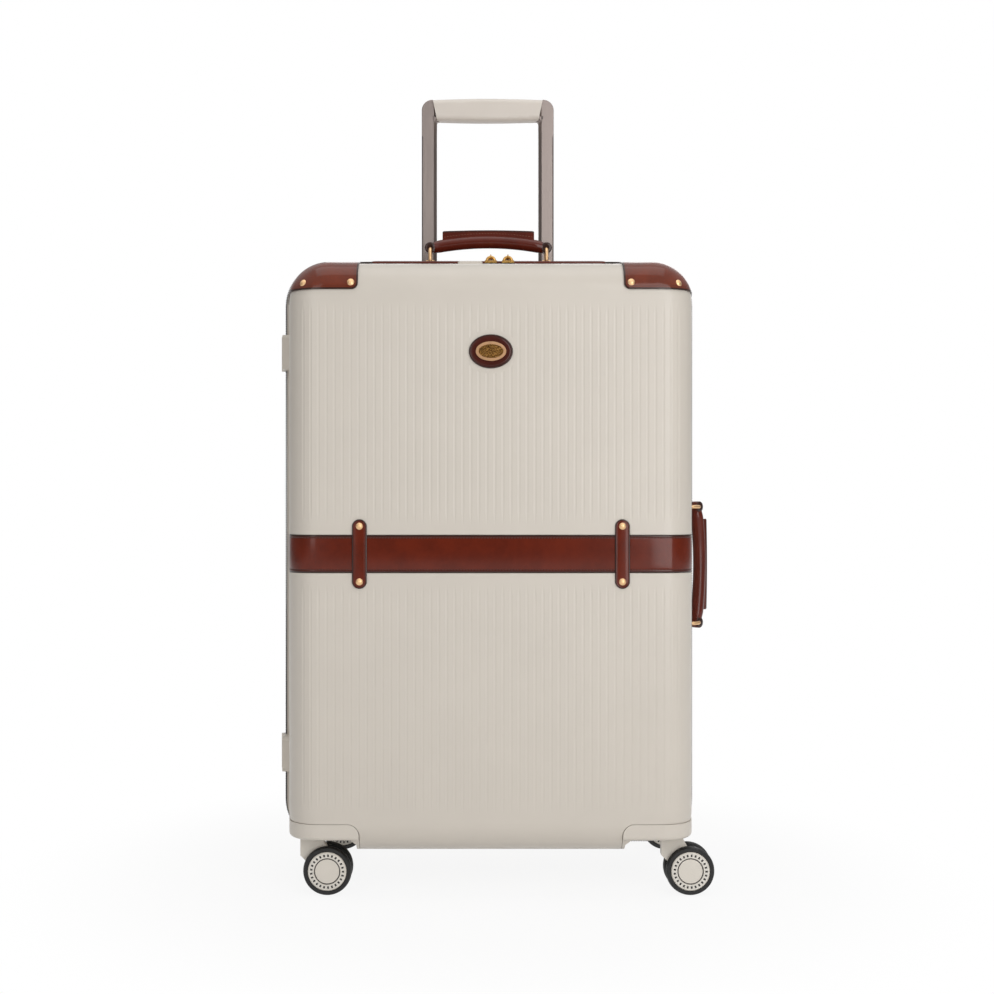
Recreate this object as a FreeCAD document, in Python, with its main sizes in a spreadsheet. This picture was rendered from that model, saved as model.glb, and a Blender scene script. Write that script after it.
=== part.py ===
"""Spinner suitcase: two ribbed half shells on a side hinge, with zip, lock, handles, trolley and casters.

Millimetres and degrees. +Z is up, +X is the carry side, -Y is the front. The origin lies on the floor
under the middle of the case, and the two halves meet in the plane y = 0.
"""
import FreeCAD, Part
import math
import os
import types

import Sketcher
from FreeCAD import Placement, Rotation, Vector

SIZES = {
    # half shells
    "rim_width": 489, "rim_height": 700, "half_depth": 155, "rim_gap": 10, "case_centre": 390.3,
    "draft": 6.2, "corner_radius": 46, "edge_radius": 36, "wall": 3.2,
    "bead_height": 3, "bead_width": 5,
    # grooves between the ribs
    "groove_pitch": 9.1, "groove_width": 3.6, "groove_depth": 0.5, "groove_count": 48, "side_grooves": 2,
    "groove_reach": 292, "groove_runout": 16,
    # lining and packing straps
    "lining_gap": 0.3, "lining_thickness": 1.2, "packing_strap_width": 26,
    "packing_strap_thickness": 1.6, "packing_strap_spacing": 250, "packing_strap_setback": 28,
    # leather strap, its channel and its keepers
    "strap_rise": 3.8, "strap_width": 43, "strap_thickness": 1.8, "strap_side_gap": 0.5,
    "strap_end_gap": 3, "strap_margin": 9, "keeper_spacing": 298, "keeper_width": 17,
    "keeper_length": 80, "keeper_end_radius": 8.3, "keeper_thickness": 2.2, "keeper_edge": 0.8,
    "keeper_rivet_spacing": 63,
    # corner guards and rivets
    "guard_width": 93.5, "guard_lower": 304, "guard_thickness": 2, "guard_corner": 7,
    "guard_setback": 3, "guard_rivet_inset": 8, "guard_rivet_edge": 30.5,
    "rivet_radius": 4.1, "rivet_height": 1.8, "shank_radius": 1.5, "shank_depth": 4,
    # badge
    "badge_rise": 233.4, "badge_width": 50, "badge_height": 38.5, "badge_thickness": 2.2,
    "badge_margin": 6, "plate_width": 34.5, "plate_height": 22, "plate_thickness": 1.8,
    "plate_border": 3.1, "plate_recess": 0.7,
    # zip
    "tape_offset": 1.2, "tape_thickness": 2, "coil_height": 3.6, "coil_half_width": 4.5,
    "zip_half_gap": 0.3, "slider_clearance": 0.4, "slider_length": 15, "slider_width": 12.4,
    "slider_plate": 2.9, "slider_flange": 1.2, "arch_radius": 4.8, "arch_wire": 1.8,
    "left_slider_place": 2.4, "right_slider_place": 23.5, "pull_eye_radius": 2.7,
    "pull_eye_wire": 0.75, "pull_length": 20, "pull_width": 9, "pull_thickness": 1.4,
    # hinges
    "hinge_spacing": 489, "hinge_height": 42, "hinge_offset": 7.1, "knuckle_radius": 4.4,
    "hinge_pin_radius": 1.6, "hinge_play": 0.06, "knuckle_gap": 0.3, "knuckle_share": 20,
    "leaf_length": 30, "leaf_sink": 12, "leaf_root": 5, "leaf_corner": 5, "leaf_axis_gap": 0.3,
    "web_lap": 0.5,
    # lock
    "lock_place": -23.3, "lock_width": 30, "lock_length": 25, "lock_rise": 3.8, "lock_setback": 1.5,
    "lock_depth": 13, "lock_rim": 2, "lock_seat_gap": 0.3,
    "lock_edge": 3, "lock_top_edge": 1.8, "lock_front_wall": 1, "dial_radius": 5.4, "dial_width": 5.4,
    "dial_pitch": 6.6, "dial_proud": 0.6, "dial_notch_count": 10,
    "dial_axle_radius": 1.2, "dial_play": 0.06, "dial_room": 0.5, "dial_notch": 0.5,
    "release_length": 9, "release_width": 3.4, "release_height": 2.4, "release_proud": 0.5,
    "release_travel": 4, "release_play": 0.25, "release_inset": 2.5,
    # top handle base, brackets and carry handles
    "base_width": 298, "base_front": 16.5, "base_length": 62, "base_rise": 13.2, "base_edge": 3,
    "base_corner": 9,
    "handle_setback": 47, "handle_span": 147, "pivot_rise": 6.5, "ring_radius": 10,
    "ring_wire": 2.25, "ring_straight": 4, "ring_room": 0.5, "slot_run": 2.5, "bracket_length": 10,
    "bracket_width": 12, "bracket_bar": 2.4, "bracket_bar_drop": 4, "bracket_top_drop": 2,
    "bracket_sink": 12, "bracket_bar_lap": 0.5,
    "grip_radius": 8, "grip_end_radius": 7, "grip_end_width": 14, "grip_rise": 7.7,
    "seam_length": 116, "seam_rise": 14, "seam_flatness": 4, "seam_thickness": 3.2,
    "side_handle_rise": -17.5, "side_handle_swing": 45,
    # trolley
    "trolley_setback": 104, "tube_spacing": 152, "tube_width": 19.6, "tube_depth": 15,
    "tube_wall": 1.3, "tube_play": 0.35, "tube_chamfer": 4, "tube_edge": 1.6,
    "tray_depth": 31, "tray_room": 4.5, "tray_wall": 2.4, "tray_drop": 38, "tray_floor": 6,
    "tray_flange": 5, "tray_flange_thickness": 1.6, "tray_gap": 0.4,
    "outer_tube_length": 600, "middle_tube_length": 420, "inner_tube_length": 370,
    "trolley_foot_height": 24, "grip_top": 977.3, "grip_height": 28.7, "grip_depth": 22,
    "grip_half_top": 71.5, "grip_half_bottom": 66, "grip_crown": 1.6, "grip_belly": 1.3, "grip_edge": 7,
    "corner_drop": 49.4, "corner_outer_radius": 13.6, "corner_edge": 1.2, "button_length": 34,
    "button_width": 10, "button_corner": 4, "button_height": 6, "button_proud": 0, "button_play": 0.3,
    "button_travel": 3, "link_thickness": 4, "link_room": 1, "link_drop": 14, "rod_radius": 2,
    "rod_length": 380,
    # casters and their housings
    "swivel_inset": 35.5, "swivel_depth": 42, "housing_width": 94.5, "housing_rise": 28.2,
    "housing_height": 46.7, "housing_corner": 13, "housing_edge": 4.5, "housing_wall": 3.5,
    "housing_seam": 0.5, "gusset": 7, "boss_radius": 10, "boss_height": 17,
    "stem_radius": 5, "stem_length": 14, "stem_play": 0.06, "crown_radius": 12.5,
    "crown_thickness": 4, "crown_gap": 0.5, "trail": 21, "wheel_radius": 28, "wheel_width": 11,
    "fork_width": 12, "fork_gap": 0.5, "fork_nose": 11, "fork_tail": 13, "axle_radius": 3,
    "axle_play": 0.06, "axle_boss": 8, "fork_bend": 7.2, "core_radius": 22.2, "tyre_crown": 1.4,
    "core_ring": 14.6, "core_step": 0.8, "core_cap": 2,
}


class Size:
    """A size that is known as a number and as an expression over the sheet's cells."""

    def __init__(self, value, text):
        self.value = float(value)
        self.text = text

    def __add__(self, other):
        other = size(other)
        return Size(self.value + other.value, f"({self.text} + {other.text})")

    def __sub__(self, other):
        other = size(other)
        return Size(self.value - other.value, f"({self.text} - {other.text})")

    def __mul__(self, other):
        other = size(other)
        return Size(self.value * other.value, f"({self.text} * {other.text})")

    def __truediv__(self, other):
        other = size(other)
        return Size(self.value / other.value, f"({self.text} / {other.text})")

    def __neg__(self):
        return Size(-self.value, f"(0 - {self.text})")

    def __radd__(self, other):
        return size(other) + self

    def __rsub__(self, other):
        return size(other) - self

    def __rmul__(self, other):
        return size(other) * self


def size(value):
    """Takes a plain number or a Size and gives a Size."""
    if isinstance(value, Size):
        return value
    text = repr(float(value))
    return Size(value, f"({text})" if value < 0 else text)


def sine(angle):
    return Size(math.sin(math.radians(angle.value)), f"sin({angle.text})")


def cosine(angle):
    return Size(math.cos(math.radians(angle.value)), f"cos({angle.text})")


def tangent(angle):
    return Size(math.tan(math.radians(angle.value)), f"tan({angle.text})")


doc = FreeCAD.newDocument("spinner_suitcase")
sheet = doc.addObject("Spreadsheet::Sheet", "sizes")
for row, (alias, value) in enumerate(SIZES.items(), start=1):
    sheet.set(f"A{row}", alias)
    sheet.set(f"B{row}", str(value))
    sheet.setAlias(f"B{row}", alias)
doc.recompute()
s = types.SimpleNamespace(**{name: Size(value, f"sizes.{name}") for name, value in SIZES.items()})

# Directions that the pieces are turned to, and the two halves' sides of the meeting plane.
UPRIGHT = Rotation()
ALONG_X = Rotation(Vector(0, 1, 0), 90)
ALONG_Y = Rotation(Vector(1, 0, 0), -90)
HALF_TURN = Rotation(Vector(0, 0, 1), 180)
FRONT, REAR = -1, 1
HALVES = {"front": FRONT, "rear": REAR}

NODES = {}


def node(name, thing):
    """Keeps an object as a finished piece under its own name."""
    thing.Label = name
    NODES[name] = thing
    return thing


def bind(thing, **sizes):
    """Ties an object's properties to expressions over the sheet."""
    for name, value in sizes.items():
        thing.setExpression(name, size(value).text)
    return thing


def place(thing, x, y, z, turn=UPRIGHT):
    """Puts an object at a point given by sizes, turned by a fixed rotation."""
    x, y, z = size(x), size(y), size(z)
    thing.Placement = Placement(Vector(x.value, y.value, z.value), turn)
    for axis, value in (("x", x), ("y", y), ("z", z)):
        thing.setExpression(f"Placement.Base.{axis}", value.text)
    return thing


def box(name, x, y, z):
    """A block between low and high places along each axis."""
    block = doc.addObject("Part::Box", name)
    spans = [(size(low), size(high)) for low, high in (x, y, z)]
    for label, (low, high) in zip(("Length", "Width", "Height"), spans):
        block.setExpression(label, (high - low).text)
    return place(block, *[low for low, high in spans])


def rod(name, radius, length, x, y, z, turn=UPRIGHT):
    """A round bar that starts at a point."""
    bar = bind(doc.addObject("Part::Cylinder", name), Radius=radius, Height=length)
    return place(bar, x, y, z, turn)


def cut(name, base, *tools):
    """A piece with others taken out of it, one after another."""
    for number, tool in enumerate(tools, start=1):
        last = number == len(tools)
        result = doc.addObject("Part::Cut", name if last else f"{name}_stage_{number}")
        result.Base = base
        result.Tool = tool
        result.Refine = False
        base = result
    return base


def fuse(name, *pieces):
    joined = doc.addObject("Part::MultiFuse", name)
    joined.Shapes = list(pieces)
    return joined


def common(name, first, second):
    shared = doc.addObject("Part::Common", name)
    shared.Base = first
    shared.Tool = second
    return shared


def group(name, *pieces):
    together = doc.addObject("Part::Compound", name)
    together.Links = list(pieces)
    return together


def copy_at(name, source, x, y, z, turn=UPRIGHT):
    """A piece drawn in a frame of its own, put in its place on the case."""
    return place(group(name, source), x, y, z, turn)


def mirrored(name, source, normal=Vector(1, 0, 0)):
    """A piece's mirror image across a plane through the origin."""
    image = doc.addObject("Part::Mirroring", name)
    image.Source = source
    image.Normal = normal
    return image


def pair(name, source):
    """A piece and its image on the other side of the case."""
    return group(name, source, mirrored(f"{name}_image", source))


def body(name):
    return doc.addObject("PartDesign::Body", name)


def sketch(owner, role, name="outline"):
    """A sketch on one of the body's own planes."""
    drawing = owner.newObject("Sketcher::SketchObject", f"{owner.Name}_{name}")
    plane = next(part for part in owner.Origin.OriginFeatures if part.Role == role)
    drawing.AttachmentSupport = [(plane, "")]
    drawing.MapMode = "FlatFace"
    return drawing


def hold(drawing, index, end, x, y):
    """Fixes one end of a line or arc at a place given by sizes."""
    for kind, value in (("DistanceX", size(x)), ("DistanceY", size(y))):
        rule = drawing.addConstraint(Sketcher.Constraint(kind, index, end, value.value))
        drawing.setExpression(f"Constraints[{rule}]", value.text)


def outline(drawing, points, arcs=None):
    """Draws a closed loop; arcs maps the number of a side to its radius, negative to bend it leftwards.

    A sketch runs its arcs anticlockwise, so a side that bends leftwards has its ends swapped.
    """
    arcs = arcs or {}
    points = [(size(x), size(y)) for x, y in points]
    first = drawing.GeometryCount
    count = len(points)
    for number, start in enumerate(points):
        stop = points[(number + 1) % count]
        low, high = (Vector(x.value, y.value, 0) for x, y in (start, stop))
        if number in arcs:
            middle = arc_middle(low, high, size(arcs[number]).value)
            drawing.addGeometry(Part.Arc(low, middle, high), False)
        else:
            drawing.addGeometry(Part.LineSegment(low, high), False)
    backwards = [number in arcs and size(arcs[number]).value < 0 for number in range(count)]
    ends = [(2, 1) if back else (1, 2) for back in backwards]
    for number, point in enumerate(points):
        following = (number + 1) % count
        joint = (first + number, ends[number][1], first + following, ends[following][0])
        drawing.addConstraint(Sketcher.Constraint("Coincident", *joint))
        hold(drawing, first + number, ends[number][0], *point)
        if number in arcs:
            radius = size(arcs[number])
            radius = radius if radius.value > 0 else -radius
            rule = drawing.addConstraint(Sketcher.Constraint("Radius", first + number, radius.value))
            drawing.setExpression(f"Constraints[{rule}]", radius.text)


def arc_middle(low, high, radius):
    """The middle point of an arc over a chord, bulging to the right of the way for a positive radius."""
    chord = high - low
    half = chord.Length / 2
    rise = abs(radius) - math.sqrt(max(radius * radius - half * half, 0))
    aside = Vector(chord.y, -chord.x, 0).normalize()
    return (low + high) / 2 + aside * math.copysign(rise, radius)


def circle_at(drawing, x, y, radius):
    """A full circle about a place given by sizes."""
    x, y, radius = size(x), size(y), size(radius)
    circle = Part.Circle(Vector(x.value, y.value, 0), Vector(0, 0, 1), radius.value)
    ring = drawing.addGeometry(circle, False)
    hold(drawing, ring, 3, x, y)
    rule = drawing.addConstraint(Sketcher.Constraint("Radius", ring, radius.value))
    drawing.setExpression(f"Constraints[{rule}]", radius.text)


def rectangle(drawing, width, height):
    """A rectangle about the sketch's origin."""
    width, height = size(width), size(height)
    outline(drawing, [(-width / 2, -height / 2), (width / 2, -height / 2),
                      (width / 2, height / 2), (-width / 2, height / 2)])


def pad(owner, drawing, length, symmetric=False, taper=None):
    raised = owner.newObject("PartDesign::Pad", f"{owner.Name}_pad")
    raised.Profile = drawing
    bind(raised, Length=length)
    if symmetric:
        raised.SideType = "Symmetric"
    if taper is not None:
        bind(raised, TaperAngle=taper)
    doc.recompute()
    return raised


def revolve(owner, drawing, axis="H_Axis"):
    """Turns a profile about one of the sketch's own axes."""
    turned = owner.newObject("PartDesign::Revolution", f"{owner.Name}_turned")
    turned.Profile = drawing
    turned.ReferenceAxis = (drawing, [axis])
    turned.Angle = 360
    return turned


def round_edges(owner, feature, radius, chosen, name):
    """Fillets the edges of a feature that a test picks."""
    doc.recompute()
    edges = [f"Edge{number}" for number, edge in enumerate(feature.Shape.Edges, start=1) if chosen(edge)]
    rounded = owner.newObject("PartDesign::Fillet", f"{owner.Name}_{name}")
    rounded.Base = (feature, edges)
    bind(rounded, Radius=radius)
    doc.recompute()
    return rounded


def runs_along(edge, axis):
    """Does a straight edge run mostly along an axis?"""
    ends = [vertex.Point for vertex in edge.Vertexes]
    if len(ends) < 2:
        return False
    way = ends[1] - ends[0]
    return way.Length > 0 and abs(getattr(way, axis)) > 0.9 * way.Length


def edge_at(axis, first, second):
    """A test for the edge along an axis that passes through a place on the other two."""
    others = [name for name in "xyz" if name != axis]

    def chosen(edge):
        middle = edge.CenterOfMass
        place_here = (getattr(middle, others[0]), getattr(middle, others[1]))
        return runs_along(edge, axis) and math.dist(place_here, (first.value, second.value)) < 0.01

    return chosen


# How far shapes that only cut or trim run past the case, and past a face that they cut.
PAST, OVER = 20, 1

RIM_TOP = s.case_centre + s.rim_height / 2
RIM_BOTTOM = s.case_centre - s.rim_height / 2
ABOVE = RIM_TOP + PAST
BELOW = RIM_BOTTOM - PAST
BEAD_BACK = s.rim_gap + s.bead_width
BEYOND = s.half_depth + PAST
FAR_SIDE = s.rim_width / 2 + PAST
GUARD_INNER = s.rim_width / 2 - s.guard_width
HOUSING_INNER = s.rim_width / 2 - s.housing_width
HOUSING_FLOOR = RIM_BOTTOM + s.housing_rise
HOUSING_TOP = RIM_BOTTOM + s.housing_height
SWIVEL_X = s.rim_width / 2 - s.swivel_inset
SWIVEL_Y = s.half_depth - s.swivel_depth


def narrowing(setback):
    """How far the drafted walls have come in at a distance from the meeting plane."""
    return (s.rim_gap * -1 + setback) * tangent(s.draft)


def half_place(thing, side, setback):
    """Puts a piece drawn from its own plane forwards on the front or the rear half."""
    return place(thing, 0, size(setback) * side, s.case_centre, UPRIGHT if side == FRONT else HALF_TURN)


BLANKS = {}


def turned(name, source):
    """A front piece's copy on the rear half, turned half round the case's middle."""
    copy = group(name, source)
    copy.Placement = Placement(Vector(), HALF_TURN)
    return copy


def shell_blank(name, inset, side=FRONT):
    """The solid inside a half shell's skin, moved in by an inset: drafted walls and rounded edges."""
    inset = size(inset)
    if inset.text not in BLANKS:
        BLANKS[inset.text] = front_blank(f"blank_{len(BLANKS) + 1}", inset)
    blank = BLANKS[inset.text]
    return blank if side == FRONT else turned(name, blank)


def front_blank(name, inset):
    """The front half's blank."""
    owner = body(name)
    drawing = sketch(owner, "XZ_Plane")
    step = inset * 2 / cosine(s.draft)
    rectangle(drawing, s.rim_width - step, s.rim_height - step)
    raised = pad(owner, drawing, s.half_depth - s.rim_gap - inset, taper=-s.draft)
    corners = round_edges(owner, raised, s.corner_radius - inset,
                          lambda edge: runs_along(edge, "y"), "corners")
    face = min(vertex.Y for vertex in corners.Shape.Vertexes)
    round_edges(owner, corners, s.edge_radius - inset,
                lambda edge: abs(edge.CenterOfMass.y - face) < 0.01, "front_edge")
    return half_place(owner, FRONT, s.rim_gap)


def rim_prism(name, offset, near, far, side):
    """A straight rounded block that follows the rim at an offset, between two distances from the plane."""
    owner = body(name)
    drawing = sketch(owner, "XZ_Plane")
    rectangle(drawing, s.rim_width + size(offset) * 2, s.rim_height + size(offset) * 2)
    raised = pad(owner, drawing, size(far) - near)
    round_edges(owner, raised, s.corner_radius + offset, lambda edge: runs_along(edge, "y"), "corners")
    return half_place(owner, side, near)


def corner_block(name, points, near, rounded, radius):
    """A block over a front corner of the case, drawn from the front and reaching past the front face."""
    owner = body(name)
    drawing = sketch(owner, "XZ_Plane")
    outline(drawing, points)
    raised = pad(owner, drawing, BEYOND - near)
    round_edges(owner, raised, radius, edge_at("y", *rounded), "corner")
    return place(owner, 0, -size(near), 0)


def band(name, low, high, side, setback):
    """A level slab across a half, used to take a strap out of a skin."""
    spans = (-FAR_SIDE, FAR_SIDE)
    reach = (-BEYOND, -size(setback)) if side == FRONT else (setback, BEYOND)
    return box(name, spans, reach, (low, high))


def surface_point(shape, x, z, side):
    """Where a line along Y first meets a shape, with the outward direction there."""
    line = Part.makeLine(Vector(x.value, side * BEYOND.value, z.value), Vector(x.value, 0, z.value))
    point = max((vertex.Point for vertex in shape.common(line).Vertexes), key=lambda found: side * found.y)
    face = min(shape.Faces, key=lambda candidate: candidate.distToShape(Part.Vertex(point))[0])
    return point, face.normalAt(*face.Surface.parameter(point))


def rivet(name, shape, x, z, side):
    """A domed rivet whose head sits on a shape and whose shank goes in behind it."""
    doc.recompute()
    point, outward = surface_point(shape.Shape, x, z, side)
    ball = (s.rivet_radius * s.rivet_radius + s.rivet_height * s.rivet_height) / (s.rivet_height * 2)
    drop = math.degrees(math.asin(1 - SIZES["rivet_height"] / ball.value))
    dome = bind(doc.addObject("Part::Sphere", f"{name}_dome"), Radius=ball)
    dome.Angle1 = drop
    place(dome, 0, 0, s.rivet_height - ball)
    shank = rod(f"{name}_shank", s.shank_radius, s.shank_depth, 0, 0, -s.shank_depth)
    whole = fuse(name, dome, shank)
    whole.Placement = Placement(point, Rotation(Vector(0, 0, 1), outward))
    return whole


# Half shells: skins, grooves, channel and the corners that the caster housings fill.
def groove_radius():
    """The radius of a bar that is as wide in the skin as a groove and sinks as deep."""
    half, depth = s.groove_width / 2, s.groove_depth
    return (half * half + depth * depth) / (depth * 2)


def groove_bar(name, length):
    """An upright bar that presses one groove; its ends taper so that the groove runs out."""
    owner = body(name)
    drawing = sketch(owner, "XZ_Plane")
    radius = groove_radius()
    thin, run = radius - s.groove_depth, s.groove_runout
    outline(drawing, [(0, 0), (thin, 0), (radius, run), (radius, length - run), (thin, length), (0, length)])
    return owner, drawing, revolve(owner, drawing, "V_Axis")


def groove_bars(name, low, high):
    """Bars that press the grooves into a half: a row over the flat face, the rest round its sides."""
    length = size(high) - low
    foot = s.case_centre + low
    sink = groove_radius() - s.groove_depth
    flat_count = SIZES["groove_count"] - SIZES["side_grooves"] * 2
    first = (flat_count - 1) * s.groove_pitch / -2
    owner, drawing, bar = groove_bar(f"{name}_row", length)
    row = owner.newObject("PartDesign::LinearPattern", f"{name}_pattern")
    row.Originals = [bar]
    row.Direction = (drawing, ["H_Axis"])
    row.Occurrences = flat_count
    bind(row, Length=(flat_count - 1) * s.groove_pitch)
    owner.Tip = row
    place(owner, first, -(s.half_depth + sink), foot)
    single = groove_bar(f"{name}_single", length)[0]
    edge_x = s.rim_width / 2 - narrowing(s.half_depth) - edge_run()
    edge_y = s.half_depth - s.edge_radius
    reach = s.edge_radius + sink
    bars = []
    for number in range(1, SIZES["side_grooves"] + 1):
        angle = (-first + s.groove_pitch * number - edge_x) / s.edge_radius * (180 / math.pi)
        bars.append(copy_at(f"{name}_side_{number}", single, edge_x + reach * sine(angle),
                            -(edge_y + reach * cosine(angle)), foot))
    return group(name, owner, pair(f"{name}_sides", group(f"{name}_right", *bars)))


def edge_run():
    """How far the rounded front edge takes up of the flat face."""
    return s.edge_radius * tangent((90 - s.draft) / 2)


def oval(name, width, height, thickness, z, setback):
    """An oval plate on the front face, standing out towards the front."""
    rim = bind(doc.addObject("Part::Ellipse", f"{name}_rim"), MajorRadius=width / 2, MinorRadius=height / 2)
    plate = doc.addObject("Part::Extrusion", name)
    plate.Base = rim
    plate.Dir = Vector(0, 0, 1)
    plate.Solid = True
    bind(plate, LengthFwd=thickness)
    return place(plate, 0, -size(setback), z, Rotation(Vector(1, 0, 0), 90))


def housing_points(seam):
    """The outline of a caster housing's corner seen from the front, grown by a seam."""
    inner, top = HOUSING_INNER - seam, HOUSING_TOP + seam
    return [(inner, top), (inner, BELOW), (FAR_SIDE, BELOW), (FAR_SIDE, top)]


STRAP_CENTRE = s.case_centre + s.strap_rise
STRAP_LOW = STRAP_CENTRE - s.strap_width / 2
STRAP_HIGH = STRAP_CENTRE + s.strap_width / 2
CHANNEL_EDGE = s.strap_width / 2 + s.strap_side_gap
BADGE_HEIGHT = s.case_centre + s.badge_rise
LOCK_TOP = RIM_TOP + s.lock_rise
LOCK_BACK = -(BEAD_BACK + s.lock_setback)
LOCK_FRONT = LOCK_BACK - s.lock_length


def lock_well(name, grow, high):
    """The part of the lock that goes through the shell, grown by an amount."""
    half = s.lock_width / 2 - s.lock_edge + grow
    return box(name, (s.lock_place - half, s.lock_place + half),
               (LOCK_FRONT + s.lock_rim - grow, LOCK_BACK - s.lock_rim + grow),
               (LOCK_TOP - s.lock_depth - grow, high))



bead = rim_prism("bead", s.bead_height, s.rim_gap, BEAD_BACK, FRONT)
front_outer = fuse("front_outer", shell_blank("skin", 0), bead)
outer_solids = {"front": front_outer, "rear": turned("rear_outer", front_outer)}
skins = {half: shell_blank(f"{half}_skin", 0, side) for half, side in HALVES.items()}
cavity = shell_blank("cavity", s.wall)

upper_grooves = groove_bars("upper_grooves", s.strap_rise + CHANNEL_EDGE + s.strap_margin, s.groove_reach)
lower_grooves = groove_bars("lower_grooves", -s.groove_reach, s.strap_rise - CHANNEL_EDGE - s.strap_margin)
badge_clearing = oval("badge_clearing", s.badge_width + s.badge_margin * 2,
                      s.badge_height + s.badge_margin * 2, s.edge_radius, BADGE_HEIGHT,
                      s.half_depth - s.groove_depth * 2)
rear_grooves = turned("rear_grooves", groove_bars("long_grooves", -s.groove_reach, s.groove_reach))

channel_floor = shell_blank("channel_floor", s.strap_thickness)
channel = cut("strap_channel", band("channel_band", STRAP_CENTRE - CHANNEL_EDGE, STRAP_CENTRE + CHANNEL_EDGE,
                                    FRONT, BEAD_BACK), channel_floor)
corner_points = housing_points(s.housing_seam)
corner_cuts = pair("corner_cuts", corner_block("corner_cut", corner_points, BEAD_BACK, corner_points[0],
                                               s.housing_corner + s.housing_seam))

# Leather: strap in its channel, keepers over it, guards on the top corners, and their rivets.
strap_band = band("strap_band", STRAP_LOW, STRAP_HIGH, FRONT, BEAD_BACK + s.strap_end_gap)
strap_skin = cut("strap_skin", skins["front"], channel_floor)
node("front_strap", common("front_strap", strap_skin, strap_band))


def keeper_blank():
    """A leather loop over the strap, with round ends."""
    owner = body("keeper_blank")
    drawing = sketch(owner, "XZ_Plane")
    rectangle(drawing, s.keeper_width, s.keeper_length)
    raised = pad(owner, drawing, s.keeper_thickness)
    ends = round_edges(owner, raised, s.keeper_end_radius, lambda edge: runs_along(edge, "y"), "ends")
    outer_face = -s.keeper_thickness.value
    round_edges(owner, ends, s.keeper_edge,
                lambda edge: abs(edge.CenterOfMass.y - outer_face) < 0.01, "edge")
    return place(owner, s.keeper_spacing / 2, -s.half_depth, STRAP_CENTRE)


def guard_blank():
    """The leather that wraps a top corner, still without its rivet holes."""
    leather = cut("guard_leather", shell_blank("guard_skin", -s.guard_thickness), skins["front"])
    lower = s.case_centre + s.guard_lower
    points = [(GUARD_INNER, lower), (FAR_SIDE, lower), (FAR_SIDE, ABOVE), (GUARD_INNER, ABOVE)]
    region = corner_block("guard_region", points, BEAD_BACK + s.guard_setback, points[0], s.guard_corner)
    return common("guard_blank", leather, region)


keeper = keeper_blank()
keeper_rivets = [rivet(f"keeper_rivet_{number}", keeper, s.keeper_spacing / 2,
                       STRAP_CENTRE + s.keeper_rivet_spacing * way / 2, FRONT)
                 for number, way in enumerate((-1, 1), start=1)]
node("strap_keepers", pair("strap_keepers", cut("keeper", keeper, *keeper_rivets)))

guard = guard_blank()
guard_rivet_height = s.case_centre + s.guard_lower + s.guard_rivet_inset
guard_rivet_places = (GUARD_INNER + s.guard_rivet_inset, s.rim_width / 2 - s.guard_rivet_edge)
guard_rivets = [rivet(f"guard_rivet_{number}", guard, x, guard_rivet_height, FRONT)
                for number, x in enumerate(guard_rivet_places, start=1)]
front_guards = node("front_corner_guards", pair("front_corner_guards", cut("guard", guard, *guard_rivets)))
node("rear_corner_guards", turned("rear_corner_guards", front_guards))
guard_pins = pair("guard_pins", group("guard_pins_right", *guard_rivets))
keeper_pins = pair("keeper_pins", group("keeper_pins_right", *keeper_rivets))
node("front_rivets", group("front_rivets", guard_pins, keeper_pins))
node("rear_rivets", turned("rear_rivets", guard_pins))

# Badge: a leather oval with a bordered brass plate.
node("badge_backing", oval("badge_backing", s.badge_width, s.badge_height, s.badge_thickness, BADGE_HEIGHT,
                           s.half_depth))
PLATE_FACE = s.half_depth + s.badge_thickness
plate_blank = oval("plate_blank", s.plate_width, s.plate_height, s.plate_thickness, BADGE_HEIGHT, PLATE_FACE)
plate_field = oval("plate_field", s.plate_width - s.plate_border * 2, s.plate_height - s.plate_border * 2,
                   s.plate_recess, BADGE_HEIGHT, PLATE_FACE + s.plate_thickness - s.plate_recess)
node("badge_plate", cut("badge_plate", plate_blank, plate_field))

# Top tray of the trolley: its opening in the rear shell and its collar.
TROLLEY = s.trolley_setback
TRAY_HALF = s.tube_spacing / 2 + s.tube_width / 2 + s.tray_room
TRAY_OUT = TRAY_HALF + s.tray_wall
TRAY_FLOOR = RIM_TOP - s.tray_drop
TRAY_BACK = TROLLEY + s.tray_depth / 2
TRAY_FRONT = TROLLEY - s.tray_depth / 2


def around_trolley(name, half_width, grow, z):
    """A block round the trolley's tubes."""
    reach = (TRAY_FRONT - grow, TRAY_BACK + grow)
    return box(name, (-size(half_width), half_width), reach, z)


tray_opening = around_trolley("tray_opening", TRAY_OUT + s.tray_gap, s.tray_wall + s.tray_gap,
                              (RIM_TOP - s.tray_drop, ABOVE))
tray_block = around_trolley("tray_block", TRAY_OUT, s.tray_wall, (TRAY_FLOOR - s.tray_floor, ABOVE))
tray_plan = around_trolley("tray_plan", TRAY_OUT + s.tray_flange, s.tray_wall + s.tray_flange,
                           (RIM_TOP - s.tray_drop, ABOVE))
flange_skin = shell_blank("flange_skin", -s.tray_flange_thickness, REAR)
tray_flange = common("tray_flange", cut("flange_sheet", flange_skin, skins["rear"]), tray_plan)
tray_walls = common("tray_walls", tray_block, flange_skin)
tray_hollow = around_trolley("tray_hollow", TRAY_HALF, 0, (TRAY_FLOOR, ABOVE))


def tube_outline(drawing, grow):
    """The trolley tube's section: flat, with broad chamfers on its inner side, moved out by an amount."""
    width, depth = (s.tube_width / 2 + grow), (s.tube_depth / 2 + grow)
    ease = 2 - math.sqrt(2)
    chamfer, edge = s.tube_chamfer + size(grow) * ease, s.tube_edge + size(grow) * ease
    outline(drawing, [(-width, chamfer - depth), (chamfer - width, -depth), (width - edge, -depth),
                      (width, edge - depth), (width, depth - edge), (width - edge, depth),
                      (chamfer - width, depth), (-width, depth - chamfer)])


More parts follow.
